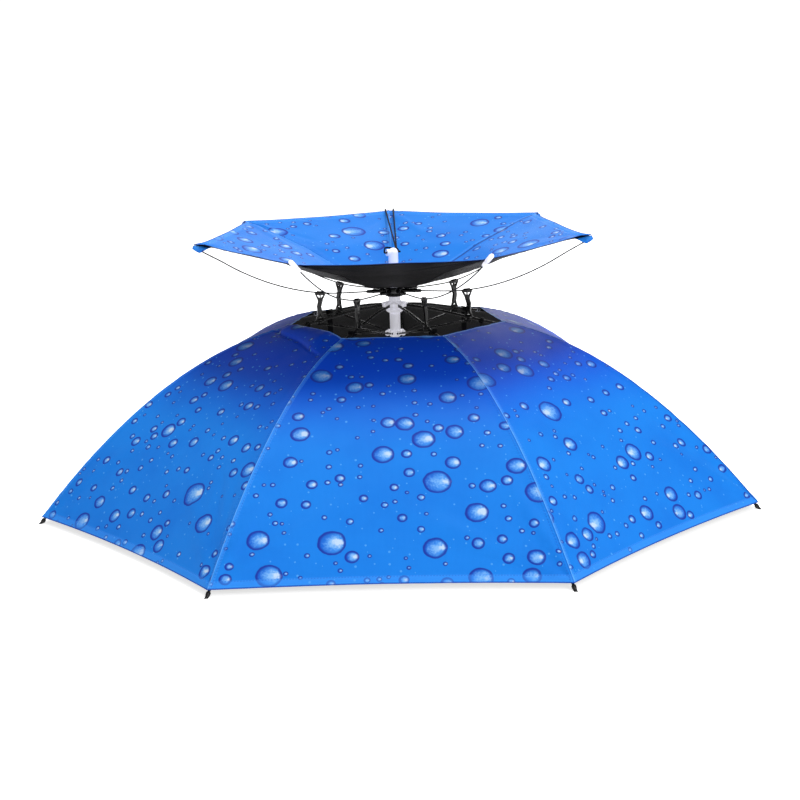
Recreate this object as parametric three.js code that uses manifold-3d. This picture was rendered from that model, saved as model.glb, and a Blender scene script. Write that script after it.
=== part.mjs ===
// Umbrella hat: a small umbrella worn on the head, with a second canopy above it, turned up like a bowl.
// Millimetres, +Z up. The hat stands on the ends of its lower ribs, at z = 0.
// Everything is first built round the post's axis. The whole is then moved so that the middle of its
// outline on the surface is the origin.
import * as THREE from "three";
import { ParametricGeometry } from "three/addons/geometries/ParametricGeometry.js";
import { mergeVertices } from "three/addons/utils/BufferGeometryUtils.js";
import Module from "manifold-3d";

const wasm = await Module();
wasm.setup();

// Whole hat
const ribCount = 7;
const fit = 0.3; // room between two pieces that touch
const clothThickness = 1.2;

// Lower canopy, measured on its outer face
const lowerReach = 385; // post's axis to each corner
const lowerHole = 117.5; // post's axis to each corner of the hole at the top
const lowerRise = 187; // corners up to the hole's corners
const cornerHeight = 7; // surface up to the corners
const firstSlope = 0.182; // fall for each millimetre outwards, at the hole
const hemHollow = 8; // how far the hem curves in between two ribs
const lowerColumns = 5;
// Rows of the cloth from the hole to the hem, as shares of that distance. They lie closer where it creases.
const lowerRows = [0, 0.05, 0.1, 0.15, 0.21, 0.29, 0.38, 0.47, 0.57, 0.67, 0.78, 0.89, 1];
// Creases at the hole: the cloth between the hole's edge and a line across one panel stands up a little.
// near and far are where that line starts and ends on the panel's two ribs, as shares of hole to hem.
const creases = [{ panel: 2, near: 0.03, far: 0.15, lift: 4 }];

// Upper canopy, measured on its upper face
const upperReach = 204.5; // post's axis to each corner
const upperHole = 5.5;
const upperSlope = 0.294; // rise for each millimetre outwards
const rimSag = 1.5; // how far the rim dips between two ribs
const upperTurn = THREE.MathUtils.degToRad(1.8); // how far the upper canopy is turned against the lower
// The springy upper ribs don't hold all corners alike. lift is a corner's height over the mean as a share of
// the rise, turn is its turn past upperTurn in degrees, and proud is the length of cap past the wire's end:
// the two front caps have slipped out of the cloth's pockets.
const upperCorners = [
  { rib: 0, lift: 0.03, turn: 0, proud: 8 },
  { rib: 1, lift: 0.06, turn: 1.2, proud: 3 },
  { rib: 2, lift: 0, turn: 0, proud: 3 },
  { rib: 3, lift: -0.125, turn: -0.7, proud: 14 },
  { rib: 4, lift: -0.115, turn: -0.4, proud: 14 },
  { rib: 5, lift: -0.03, turn: 0, proud: 3 },
  { rib: 6, lift: 0.055, turn: 0, proud: 3 },
];
const upperColumns = 5;
// Rows from the edge of the hub to the rim, as shares of that distance.
const upperRows = [0, 0.2, 0.4, 0.6, 0.8, 1];

// Post and what sits on it
const crownRise = 17; // hole's corners up to the roots of the lower ribs
const postRadius = 5.6;
const postFoot = 35; // roots of the lower ribs down to the foot of the post
// Rounded end of the post: share of its radius at each height above the foot.
const postNose = [
  { share: 0.6, height: 0 },
  { share: 0.92, height: 1.4 },
  { share: 1, height: 3.6 },
];
const spindleRadius = 3.6; // thin part above the shoulder, through the crown, the hub and the finial
const crownFoot = 8; // rib roots down to the crown's lower face, and the post's shoulder
const crownRadius = 13.8; // tips of the prongs
const crownNeck = 7.4; // bottom of the slots between the prongs
const crownTop = 9; // rib roots up to the crown's upper face
const crownTurn = THREE.MathUtils.degToRad(-1.7); // how far the crown is turned against the lower canopy
const collarRadius = 6.5; // top of the crown
const bandRing = 1.8; // how far the ring round the crown's foot stands out
// Outside of the crown from its foot to its top, as heights above the rib roots.
const crownOutline = [
  { radius: crownNeck, height: -crownFoot },
  { radius: crownNeck + bandRing, height: -6.5 },
  { radius: crownNeck + bandRing, height: -5 },
  { radius: crownNeck, height: -3.4 },
  { radius: crownNeck, height: -2.4 },
  { radius: crownRadius, height: -1.6 },
  { radius: crownRadius, height: 2 },
  { radius: crownNeck, height: 3.8 },
  { radius: collarRadius, height: 4.4 },
  { radius: collarRadius, height: crownTop },
];
const slotHeight = 7;
const slotMiddle = 0.6; // rib roots up to the middle of a slot
const runnerDrop = 30.5; // rib roots down to the middle of the runner
const runnerWall = 1.2;
const runnerHeight = 5;
const earOffset = 3; // post's face to the middle of each eyelet
const earRadius = 3.1;
const earThickness = 2.2;
const earHole = 1.2;
const hubRadius = 10;
const hubAbove = 3.5; // upper ribs' middle up to the hub's upper face
const sleeveReach = 30; // post's axis to the end of each rib sleeve
const sleeveRadius = 2;
const hubChamfer = 1.5;
const finialRadius = 5.2;
const finialFlange = 8.6;
const flangeHeight = 1.2;
const flangeSlope = 1.4; // height over which the flange runs into the tube
const spindleCover = 2; // plastic between the top of the spindle and the cord's hole
const finialHeight = 40.5; // upper canopy up to the top of the dome
const eyeDrop = 4.7; // top of the dome down to the cord's hole
const eyeRadius = 1.7;
const eyeBoss = 3.6; // radius of the boss round the left end of the hole
const eyeReach = 7.4; // post's axis to the end of that boss
const eyeAngle = THREE.MathUtils.degToRad(205); // where that boss points

// Ribs, struts and stretchers
const ribRadius = 1.45; // lower rib from the crown to the hole's edge and on to the hem
const seamRoom = 0.9; // room between a lower rib and the fold of the cloth above it
const ribBend = 38; // handle lengths that shape the rib between the crown and the hole's edge
const ribRun = 32;
const ribDroop = 0.06; // fall of a rib for each millimetre outwards as it leaves the crown
const seamStops = [0.15, 0.3, 0.45, 0.6, 0.75, 0.88, 1]; // where a rib is bent to the seam, hole to hem
const wireRadius = 0.7; // upper ribs
const wireLevelReach = 55; // post's axis to where an upper rib starts to rise
const wirePast = 5.5; // end of an upper rib past the corner of the cloth
const wireBelow = 1.6; // corner of the cloth down to the middle of the rib's end
const wireStops = [0.1, 0.25, 0.4, 0.55, 0.7, 0.85, 1]; // where its rise is set, level part to end
const strutRadius = 81; // post's axis to the struts
const strutHeight = 28; // lower rib's middle up to the upper rib's middle, at the struts
const strutThickness = 5;
const strutStem = 5.3;
const strutBow = 1.2; // how far the stem bows outwards
const headWidth = 11.5;
const headHeight = 8;
const footWidth = 9;
const footHeight = 6;
const strutEdge = 1.6; // straight part of the edges at the strut's foot and head
const headCap = 0.5; // upper rib's middle up to the top of the head
const windowRail = 1.4; // plastic between the two windows of a head
const windowSide = 2.2; // plastic beside them
const windowAbove = 2.6; // upper rib's middle down to them
const windowFoot = 2.4; // start of the head up to their lower corners
const footWindowWidth = 3.2;
const footWindowStart = 3.2; // lower rib's middle up to the window in a foot
const stretcherRadius = 1;
const knuckleRadius = 3;
const knuckleWidth = 6.2;

// Rib ends
const capRadius = 2.5; // white caps of the upper ribs
const capGrip = 8; // length of cap on the wire
const tipRadius = 2.4; // ends of the lower ribs
const tipGrip = 3; // rib past the corner of the cloth, inside its end piece
const tipLength = 9;

// Headband and its hangers
const bandRadius = 92; // inside
const bandThickness = 1.6;
const bandHeight = 30;
const bandFoot = 94; // surface up to the band
const bandSides = 36;
const hangerWidth = 8;
const hangerThickness = 1.6;
const hangerLap = 26; // how far a hanger runs down beside the band

// Elastic cord
const cordRadius = 1.1;
const cordSpread = 4.6; // each strand's distance from the middle of the back tip
const beadRadius = 2.6; // knot
const knotPlace = { x: 3.5, y: 7.5, lift: 1 }; // lift is from the middle of the cord's hole
// The cord from the knot through the hole, as distances along the hole, and back over the dome.
const throughHole = [-8, -5.5, 7, 9.7];
const overDome = [
  { x: -8.5, y: 0.5, lift: 4.5 },
  { x: -3.5, y: 6.5, lift: 4 },
];
// The cord's hook over the rim and round the outer side of the back cap, measured from the back rib's end.
const hookHalf = [
  { out: -8, side: cordSpread, lift: 2.9 },
  { out: -2, side: cordSpread + 0.1, lift: 2.6 },
  { out: 3, side: 4, lift: 0.2 },
];
const hookEnd = { out: 4.6, side: 0, lift: -1.5 };

// Heights that follow from these
const holeHeight = cornerHeight + lowerRise;
const rootHeight = holeHeight + crownRise;
const runnerHeightMid = rootHeight - runnerDrop;
const turnStep = (2 * Math.PI) / ribCount;
const clampRadius = hubRadius + 2; // flat middle of the upper canopy
const clampRise = hubAbove + fit + clothThickness; // level part of an upper rib up to the cloth on the hub
const wireReach = upperReach + wirePast; // post's axis to the end of an upper rib

const plastic = (color, roughness) => new THREE.MeshStandardMaterial({ color, roughness, metalness: 0 });
const materials = {
  cloth: plastic(0x1a66d8, 0.45),
  black: plastic(0x0c0c0e, 0.35),
  rib: new THREE.MeshStandardMaterial({ color: 0x121214, roughness: 0.4, metalness: 0.6 }),
  white: plastic(0xdcdce4, 0.4),
  elastic: plastic(0x0a0a0c, 0.8),
};

const hat = new THREE.Group();

function addPiece(name, solid, material) {
  const geometry = solid.isBufferGeometry ? solid : geometryOf(solid);
  const mesh = new THREE.Mesh(geometry, material);
  mesh.name = name;
  hat.add(mesh);
}

// A closed geometry as a solid that can be joined and cut.
function solidOf(geometry) {
  const bare = geometry.clone();
  bare.deleteAttribute("normal");
  bare.deleteAttribute("uv");
  const merged = mergeVertices(bare, 1e-4);
  const vertProperties = new Float32Array(merged.attributes.position.array);
  const triVerts = new Uint32Array(merged.index.array);
  return new wasm.Manifold(new wasm.Mesh({ numProp: 3, vertProperties, triVerts }));
}

function geometryOf(solid) {
  const mesh = solid.getMesh();
  const geometry = new THREE.BufferGeometry();
  geometry.setAttribute("position", new THREE.BufferAttribute(mesh.vertProperties, 3));
  geometry.setIndex(new THREE.BufferAttribute(mesh.triVerts, 1));
  geometry.computeVertexNormals();
  return geometry;
}

const ribAngle = (rib) => Math.PI / 2 + rib * turnStep;

// Where the upper canopy's seam over a rib lies, how steeply it rises and how far the cap stands out.
function upperSeam(rib) {
  const { lift, turn, proud } = upperCorners[(rib + ribCount) % ribCount];
  return {
    proud,
    turn: upperTurn + THREE.MathUtils.degToRad(turn),
    slope: upperSlope * (1 + lift),
  };
}

const polar = (radius, angle, height) =>
  new THREE.Vector3(radius * Math.cos(angle), radius * Math.sin(angle), height);

// A piece turned round the post's axis. Its profile lists [radius, height] going round the section.
function turned(profile, sides) {
  const points = profile.map(([radius, height]) => new THREE.Vector2(radius, height));
  return new THREE.LatheGeometry(points, sides).rotateX(Math.PI / 2);
}

function tube(points, radius, sides, steps) {
  const section = new THREE.Shape(
    Array.from({ length: sides }, (_, i) => {
      const turn = (2 * Math.PI * i) / sides;
      return new THREE.Vector2(radius * Math.cos(turn), radius * Math.sin(turn));
    }),
  );
  const extrudePath = new THREE.CatmullRomCurve3(points, false, "centripetal");
  return new THREE.ExtrudeGeometry(section, { steps, extrudePath, bevelEnabled: false });
}

// A straight round bar from one point to another.
function bar(from, to, radius, sides) {
  const along = to.clone().sub(from);
  const turn = new THREE.Quaternion().setFromUnitVectors(
    new THREE.Vector3(0, 1, 0),
    along.clone().normalize(),
  );
  return new THREE.CylinderGeometry(radius, radius, along.length(), sides)
    .applyQuaternion(turn)
    .translate(...from.clone().addScaledVector(along, 0.5));
}

// A cloth sheet with its wall, as one ring of panels: wall goes along the outer face, over the edge and back
// along the inner face, and round goes round the axis, each from 0 to 1.
function clothRing(pointAt, rows, columns) {
  const lastRow = rows.length - 1;
  const wallSteps = 2 * lastRow + 2;
  const slices = ribCount * columns;
  return new ParametricGeometry(
    (wall, round, target) => {
      const slice = Math.round(round * slices) % slices;
      const step = Math.round(wall * wallSteps) % wallSteps;
      const inside = step > lastRow;
      const row = inside ? wallSteps - 1 - step : step;
      const panel = Math.floor(slice / columns);
      const across = (slice % columns) / columns;
      target.copy(pointAt(panel, across, rows[row], inside ? clothThickness : 0));
    },
    wallSteps,
    slices,
  );
}

// The normal of a sheet by small steps along it. On a seam it is the mean of both panels' normals.
function sheetNormal(surface, panel, across, along) {
  const step = 1e-3;
  const onePanel = (side, sign) => {
    const back = along > 0.5 ? -step : step;
    const down = surface(side.panel, side.across, along + back);
    const here = surface(side.panel, side.across, along);
    const beside = surface(side.panel, side.across + sign * step, along);
    const outward = down.sub(here).multiplyScalar(Math.sign(back));
    return outward.cross(beside.sub(here).multiplyScalar(sign)).normalize();
  };
  if (across > 0) return onePanel({ panel, across }, across < 0.5 ? 1 : -1);
  const after = onePanel({ panel, across: 0 }, 1);
  const before = onePanel({ panel: panel - 1, across: 1 }, -1);
  return after.add(before).normalize();
}

// Lower canopy

function lowerMeridian(along) {
  const span = lowerReach - lowerHole;
  const out = along * span;
  const bend = (lowerRise - firstSlope * span) / span ** 2;
  return {
    radius: lowerHole + out,
    height: holeHeight - firstSlope * out - bend * out ** 2,
    slope: firstSlope + 2 * bend * out,
  };
}

function creaseLift(panel, across, along) {
  const wrapped = (panel + ribCount) % ribCount;
  let lift = 0;
  for (const crease of creases) {
    const line = THREE.MathUtils.lerp(crease.near, crease.far, across);
    if (wrapped !== crease.panel || along >= line) continue;
    const risen = Math.sin(Math.min(1, (2 * (line - along)) / line) * Math.PI * 0.5);
    lift += crease.lift * risen * 4 * across * (1 - across);
  }
  return lift;
}

function lowerSurface(panel, across, along) {
  const { radius, height } = lowerMeridian(along);
  const left = polar(radius, ribAngle(panel), height);
  const right = polar(radius, ribAngle(panel + 1), height);
  const widening = radius / lowerReach;
  const inward = -hemHollow * widening ** 2 * 4 * across * (1 - across);
  return left
    .lerp(right, across)
    .add(polar(inward, ribAngle(panel + 0.5), creaseLift(panel, across, along)));
}

function lowerCanopy() {
  const pointAt = (panel, across, along, depth) =>
    lowerSurface(panel, across, along).addScaledVector(
      sheetNormal(lowerSurface, panel, across, along),
      -depth,
    );
  return clothRing(pointAt, lowerRows, lowerColumns);
}

// Lower ribs, from the slot in the crown, under the edge of the hole and along the seam to the corner

const seatDepth = clothThickness + seamRoom + ribRadius;
const rootRadius = crownNeck + fit;

function underSeam(rib, along) {
  const { radius, height, slope } = lowerMeridian(along);
  const tilt = Math.atan(slope);
  const inward = seatDepth * Math.sin(tilt);
  const down = seatDepth * Math.cos(tilt);
  return polar(radius - inward, ribAngle(rib), height - down);
}

function lowerRibPoints(rib) {
  const root = polar(rootRadius, ribAngle(rib) + crownTurn, rootHeight);
  const edge = underSeam(rib, 0);
  const bend = polar(rootRadius + ribBend, ribAngle(rib) + 1.5 * crownTurn, rootHeight - ribBend * ribDroop);
  const run = edge.clone().add(polar(-ribRun, ribAngle(rib), ribRun * firstSlope));
  const inner = new THREE.CubicBezierCurve3(root, bend, run, edge).getPoints(4);
  const outer = seamStops.map((along) => underSeam(rib, along));
  const tip = outer.at(-1).clone().addScaledVector(lowerRibEnd(rib).direction, tipGrip);
  return [...inner, ...outer, tip];
}

// Where a lower rib leaves the corner of the cloth, and which way it runs there.
function lowerRibEnd(rib) {
  const tilt = Math.atan(lowerMeridian(1).slope);
  const direction = polar(Math.cos(tilt), ribAngle(rib), -Math.sin(tilt));
  return { corner: underSeam(rib, 1), direction };
}

const lowerRib = (rib) => tube(lowerRibPoints(rib), ribRadius, 6, 14);

// The point of a rib's middle line that is a given distance from the post's axis.
function pointAtRadius(points, radius) {
  const curve = new THREE.CatmullRomCurve3(points, false, "centripetal");
  let [low, high] = [0, 1];
  for (let i = 0; i < 30; i++) {
    const middle = (low + high) / 2;
    const point = curve.getPoint(middle);
    if (Math.hypot(point.x, point.y) < radius) low = middle;
    else high = middle;
  }
  return curve.getPoint(low);
}

// The space that a rib needs where another piece holds it, as a straight bar through that stretch.
function ribRoom(points, radius, from, to) {
  const start = pointAtRadius(points, from);
  const end = pointAtRadius(points, to);
  return solidOf(bar(start, end, radius + 2 * fit, 6));
}

const lowerRibRoom = (rib) =>
  ribRoom(lowerRibPoints(rib), ribRadius, strutRadius - footWidth, strutRadius + footWidth);

const upperRibRoom = (rib) =>
  ribRoom(upperRibPoints(rib), wireRadius, strutRadius - headWidth, strutRadius + headWidth);

function halfSpace() {
  const size = 4 * lowerReach;
  return solidOf(new THREE.BoxGeometry(size, size, size).translate(0, 0, -size / 2));
}

function lowerTip(rib) {
  const { corner, direction } = lowerRibEnd(rib);
  const beyond = (distance) => corner.clone().addScaledVector(direction, distance);
  const bore = bar(beyond(-1), beyond(tipGrip + fit), ribRadius + 1.4 * fit, 6);
  return solidOf(bar(beyond(fit), beyond(tipLength), tipRadius, 8))
    .subtract(solidOf(bore))
    .subtract(halfSpace());
}

// Upper ribs: level from the hub, over the struts, then rising to the tips like a drawn bow

const wireRoot = hubRadius + 2;
const wireHeight = pointAtRadius(lowerRibPoints(0), strutRadius).z + strutHeight;

function upperRibPoints(rib) {
  const level = [wireRoot, (wireRoot + wireLevelReach) / 2, wireLevelReach].map((radius) =>
    polar(radius, ribAngle(rib) + crownTurn, wireHeight),
  );
  const seam = upperSeam(rib);
  const rise = clampRise + (upperReach - clampRadius) * seam.slope - wireBelow;
  const bow = wireStops.map((share) => {
    const radius = THREE.MathUtils.lerp(wireLevelReach, wireReach, share);
    const turn = THREE.MathUtils.lerp(crownTurn, seam.turn, THREE.MathUtils.smoothstep(share, 0, 1));
    return polar(radius, ribAngle(rib) + turn, wireHeight + rise * share ** 2);
  });
  return [...level, ...bow];
}

const upperRib = (rib) => tube(upperRibPoints(rib), wireRadius, 6, 12);

function upperTip(rib) {
  const points = upperRibPoints(rib);
  const end = points.at(-1);
  const direction = end.clone().sub(pointAtRadius(points, wireReach - capGrip)).normalize();
  const start = end.clone().addScaledVector(direction, -capGrip);
  const blind = end.clone().addScaledVector(direction, fit);
  const outer = end.clone().addScaledVector(direction, upperSeam(rib).proud);
  const bore = solidOf(bar(start.clone().addScaledVector(direction, -1), blind, wireRadius + 2 * fit, 6));
  return solidOf(bar(start, outer, capRadius, 8)).subtract(bore);
}

// Upper canopy

const hubTop = wireHeight + hubAbove;
const clampHeight = wireHeight + clampRise; // upper face of the cloth on the hub
const finialTop = clampHeight + finialHeight;
const eyeHeight = finialTop - eyeDrop;
const spindleTop = eyeHeight - eyeRadius - spindleCover;

function upperSurface(panel, across, along) {
  const radius = THREE.MathUtils.lerp(clampRadius, upperReach, along);
  const onSeam = (rib) => {
    const { turn, slope } = upperSeam(rib);
    const height = clampHeight + Math.max(0, radius - clampRadius) * slope;
    return polar(radius, ribAngle(rib) + turn, height);
  };
  const left = onSeam(panel);
  const right = onSeam(panel + 1);
  const sag = -rimSag * Math.max(0, along) ** 2 * 4 * across * (1 - across);
  return left.lerp(right, across).add(new THREE.Vector3(0, 0, sag));
}

function upperCanopy() {
  const holeShare = (upperHole - clampRadius) / (upperReach - clampRadius);
  const down = new THREE.Vector3(0, 0, -1);
  const pointAt = (panel, across, along, depth) =>
    upperSurface(panel, across, along).addScaledVector(down, depth);
  return clothRing(pointAt, [holeShare, ...upperRows], upperColumns);
}

// Post, crown, runner, hub and finial

function post() {
  const foot = rootHeight - postFoot;
  const shoulder = rootHeight - crownFoot - fit;
  return turned(
    [
      [0, foot],
      ...postNose.map(({ share, height }) => [postRadius * share, foot + height]),
      [postRadius, shoulder],
      [spindleRadius, shoulder],
      [spindleRadius, spindleTop],
      [0, spindleTop],
    ],
    18,
  );
}

function crown() {
  const bore = spindleRadius + fit;
  const profile = [
    [bore, rootHeight - crownFoot],
    ...crownOutline.map(({ radius, height }) => [radius, rootHeight + height]),
    [bore, rootHeight + crownTop],
    [bore, rootHeight - crownFoot],
  ];
  let ring = solidOf(turned(profile, 2 * ribCount));
  const slotWidth = 2 * (ribRadius + 1.4 * fit);
  for (let rib = 0; rib < ribCount; rib++) {
    const slot = new THREE.BoxGeometry(crownRadius, slotWidth, slotHeight)
      .translate(crownNeck + crownRadius / 2, 0, rootHeight + slotMiddle)
      .rotateZ(ribAngle(rib) + crownTurn);
    ring = ring.subtract(solidOf(slot));
  }
  return ring;
}

function runner() {
  const bore = postRadius + fit;
  const ring = [
    [bore + runnerWall, -runnerHeight / 2],
    [bore + runnerWall, runnerHeight / 2],
    [0, runnerHeight / 2],
  ].map(([radius, height]) => [radius, runnerHeightMid + height]);
  let made = solidOf(turned([[0, runnerHeightMid - runnerHeight / 2], ...ring], 16));
  const earCentre = (rib) => polar(postRadius + earOffset, ribAngle(rib) + crownTurn, runnerHeightMid);
  const across = (rib, half) => polar(half, ribAngle(rib) + crownTurn + Math.PI / 2, 0);
  const disc = (rib, radius, thickness, sides) =>
    solidOf(
      bar(
        earCentre(rib).sub(across(rib, thickness / 2)),
        earCentre(rib).add(across(rib, thickness / 2)),
        radius,
        sides,
      ),
    );
  for (let rib = 0; rib < ribCount; rib++) made = made.add(disc(rib, earRadius, earThickness, 6));
  for (let rib = 0; rib < ribCount; rib++) {
    made = made.subtract(disc(rib, earHole, 2 * earThickness, 6));
  }
  const middle = new THREE.Vector3(0, 0, runnerHeightMid);
  const half = new THREE.Vector3(0, 0, earRadius * 2);
  return made.subtract(solidOf(bar(middle.clone().sub(half), middle.clone().add(half), bore, 16)));
}

function upperHub() {
  const bore = spindleRadius + fit;
  const low = rootHeight + crownTop + fit;
  const profile = [
    [bore, low],
    [hubRadius - hubChamfer, low],
    [hubRadius, low + hubChamfer],
    [hubRadius, hubTop - hubChamfer],
    [hubRadius - hubChamfer, hubTop],
    [bore, hubTop],
    [bore, low],
  ];
  let hub = solidOf(turned(profile, 14));
  for (let rib = 0; rib < ribCount; rib++) {
    const angle = ribAngle(rib) + crownTurn;
    const from = polar(hubRadius - 2, angle, wireHeight);
    const to = polar(sleeveReach, angle, wireHeight);
    hub = hub.add(solidOf(bar(from, to, sleeveRadius, 6)));
  }
  for (let rib = 0; rib < ribCount; rib++) {
    const angle = ribAngle(rib) + crownTurn;
    const blind = polar(wireRoot - fit, angle, wireHeight);
    const mouth = polar(sleeveReach + 1, angle, wireHeight);
    hub = hub.subtract(solidOf(bar(blind, mouth, wireRadius + 1.4 * fit, 6)));
  }
  return hub;
}

function finial() {
  const bore = spindleRadius + fit;
  const low = clampHeight + fit;
  const domeSteps = 4;
  const dome = Array.from({ length: domeSteps }, (_, i) => {
    const lift = (Math.PI / 2) * (i / domeSteps);
    return [finialRadius * Math.cos(lift), finialTop - finialRadius + finialRadius * Math.sin(lift)];
  });
  const profile = [
    [0, spindleTop + fit],
    [bore, spindleTop + fit],
    [bore, low],
    [finialFlange, low],
    [finialFlange, low + flangeHeight],
    [finialRadius, low + flangeHeight + flangeSlope],
    ...dome,
    [0, finialTop],
  ];
  const left = polar(eyeReach, eyeAngle, eyeHeight);
  const right = polar(-2 * finialRadius, eyeAngle, eyeHeight);
  return solidOf(turned(profile, 18))
    .add(solidOf(bar(new THREE.Vector3(0, 0, eyeHeight), left, eyeBoss, 12)))
    .subtract(solidOf(bar(right, polar(2 * eyeReach, eyeAngle, eyeHeight), eyeRadius, 10)));
}

// Struts: a flat plastic prop with a forked head and foot, clipped on both ribs

function strutFrame(rib) {
  const foot = pointAtRadius(lowerRibPoints(rib), strutRadius);
  const head = pointAtRadius(upperRibPoints(rib), strutRadius - strutBow);
  const up = head.clone().sub(foot);
  const height = up.length();
  up.normalize();
  const across = polar(1, ribAngle(rib) + crownTurn + Math.PI / 2, 0);
  const outward = up.clone().cross(across).negate().normalize();
  const side = outward.clone().cross(up).normalize();
  return { foot, height, basis: new THREE.Matrix4().makeBasis(outward, up, side).setPosition(foot) };
}

const pathOf = (points) => new THREE.Path(points.map(([x, y]) => new THREE.Vector2(x, y)));

function strut(rib) {
  const { height, basis } = strutFrame(rib);
  const stem = strutStem / 2;
  const neck = height - headHeight;
  const head = headWidth / 2;
  const foot = footWidth / 2;
  const outline = [
    [-foot, fit],
    [foot, fit],
    [foot, strutEdge],
    [stem, footHeight],
    [stem + strutBow, height / 2],
    [stem, neck],
    [head, height - strutEdge],
    [head, height + headCap],
    [-head, height + headCap],
    [-head, height - strutEdge],
    [-stem, neck],
    [-stem + strutBow, height / 2],
    [-stem, footHeight],
    [-foot, strutEdge],
  ].map(([x, y]) => new THREE.Vector2(x, y));
  const shape = new THREE.Shape(outline);
  const rail = windowRail / 2;
  const outer = head - windowSide;
  const ledge = height - windowAbove;
  const sill = neck + windowFoot;
  const low = footWindowWidth / 2;
  shape.holes.push(
    pathOf([[rail, sill], [rail, ledge], [outer, ledge]]),
    pathOf([[-rail, sill], [-outer, ledge], [-rail, ledge]]),
    pathOf([[-low, footWindowStart], [0, footHeight], [low, footWindowStart]]),
  );
  const plate = new THREE.ExtrudeGeometry(shape, { depth: strutThickness, bevelEnabled: false })
    .translate(0, 0, -strutThickness / 2)
    .applyMatrix4(basis);
  return solidOf(plate).subtract(lowerRibRoom(rib)).subtract(upperRibRoom(rib));
}

// Stretchers: a rod from the runner's eyelet to a knuckle under the rib, below the strut

function stretcher(rib) {
  const seat = pointAtRadius(lowerRibPoints(rib), strutRadius);
  const knuckle = seat.clone().add(new THREE.Vector3(0, 0, -knuckleRadius - fit));
  const ear = polar(postRadius + earOffset, ribAngle(rib) + crownTurn, runnerHeightMid);
  const along = knuckle.clone().sub(ear).normalize();
  const from = ear.addScaledVector(along, earRadius + fit);
  const half = polar(knuckleWidth / 2, ribAngle(rib) + crownTurn + Math.PI / 2, 0);
  const pin = bar(knuckle.clone().sub(half), knuckle.clone().add(half), knuckleRadius, 8);
  return solidOf(bar(from, knuckle, stretcherRadius, 6)).add(solidOf(pin)).subtract(lowerRibRoom(rib));
}

// Headband, and the plain straps that carry it from the ribs

function headband() {
  const outer = bandRadius + bandThickness;
  return turned(
    [
      [bandRadius, bandFoot],
      [outer, bandFoot],
      [outer, bandFoot + bandHeight],
      [bandRadius, bandFoot + bandHeight],
      [bandRadius, bandFoot],
    ],
    bandSides,
  );
}

function hanger(rib) {
  const radius = bandRadius + bandThickness + fit + hangerThickness / 2;
  const top = pointAtRadius(lowerRibPoints(rib), radius);
  const low = bandFoot + bandHeight - hangerLap;
  const strap = new THREE.BoxGeometry(hangerThickness, hangerWidth, top.z - low)
    .translate(radius, 0, (top.z + low) / 2)
    .rotateZ(Math.atan2(top.y, top.x));
  const reach = hangerThickness + fit;
  const room = ribRoom(lowerRibPoints(rib), ribRadius, radius - reach, radius + reach);
  return solidOf(strap).subtract(room);
}

// Elastic cord: a small loop through the finial's eye, a knot, and two strands that hook on the back tip

function elasticCord() {
  const atEye = ({ x, y, lift }) => new THREE.Vector3(x, y, eyeHeight + lift);
  const knot = atEye(knotPlace);
  const smallLoopPoints = [
    knot,
    ...throughHole.map((distance) => polar(distance, eyeAngle, eyeHeight)),
    ...overDome.map(atEye),
    knot,
  ];
  const backTip = upperRibPoints(0).at(-1);
  const away = ribAngle(0) + upperSeam(0).turn;
  const out = polar(1, away, 0);
  const across = polar(1, away - Math.PI / 2, 0);
  const nearTip = (place, sign) =>
    backTip
      .clone()
      .addScaledVector(out, place.out)
      .addScaledVector(across, sign * place.side)
      .setZ(backTip.z + place.lift);
  const hookPoints = [
    ...hookHalf.map((place) => nearTip(place, -1)),
    nearTip(hookEnd, 1),
    ...hookHalf.map((place) => nearTip(place, 1)).reverse(),
  ];
  const strand = (end) => {
    const beyond = end.clone().sub(knot).setLength(1).add(end);
    return solidOf(bar(knot, beyond, cordRadius, 6));
  };
  const bead = new THREE.IcosahedronGeometry(beadRadius, 1).translate(...knot);
  return solidOf(tube(smallLoopPoints, cordRadius, 6, 16))
    .add(solidOf(tube(hookPoints, cordRadius, 6, 12)))
    .add(strand(hookPoints[0]))
    .add(strand(hookPoints.at(-1)))
    .add(solidOf(bead));
}

addPiece("lower_canopy", lowerCanopy(), materials.cloth);
addPiece("upper_canopy", upperCanopy(), materials.cloth);
addPiece("post", post(), materials.white);
addPiece("crown", crown(), materials.white);
addPiece("runner", runner(), materials.white);
addPiece("finial", finial(), materials.white);
addPiece("upper_hub", upperHub(), materials.black);
for (let rib = 0; rib < ribCount; rib++) {
  const number = rib + 1;
  addPiece(`lower_rib_${number}`, lowerRib(rib), materials.rib);
  addPiece(`stretcher_${number}`, stretcher(rib), materials.rib);
  addPiece(`strut_${number}`, strut(rib), materials.black);
  addPiece(`upper_rib_${number}`, upperRib(rib), materials.rib);
  addPiece(`upper_tip_${number}`, upperTip(rib), materials.white);
  addPiece(`lower_tip_${number}`, lowerTip(rib), materials.black);
  addPiece(`hanger_${number}`, hanger(rib), materials.black);
}
addPiece("headband", headband(), materials.elastic);
addPiece("elastic_cord", elasticCord(), materials.elastic);

const outline = new THREE.Box3().setFromObject(hat).getCenter(new THREE.Vector3());
hat.position.set(-outline.x, -outline.y, 0);

export default hat;
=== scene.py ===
"""Looks of the umbrella hat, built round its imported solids.

Shapes are worked out in millimetres from the post's axis and turned into metres when a mesh is made.
"""
import math
import random

import bmesh
import bpy
from mathutils import Matrix, Vector, noise


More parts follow.
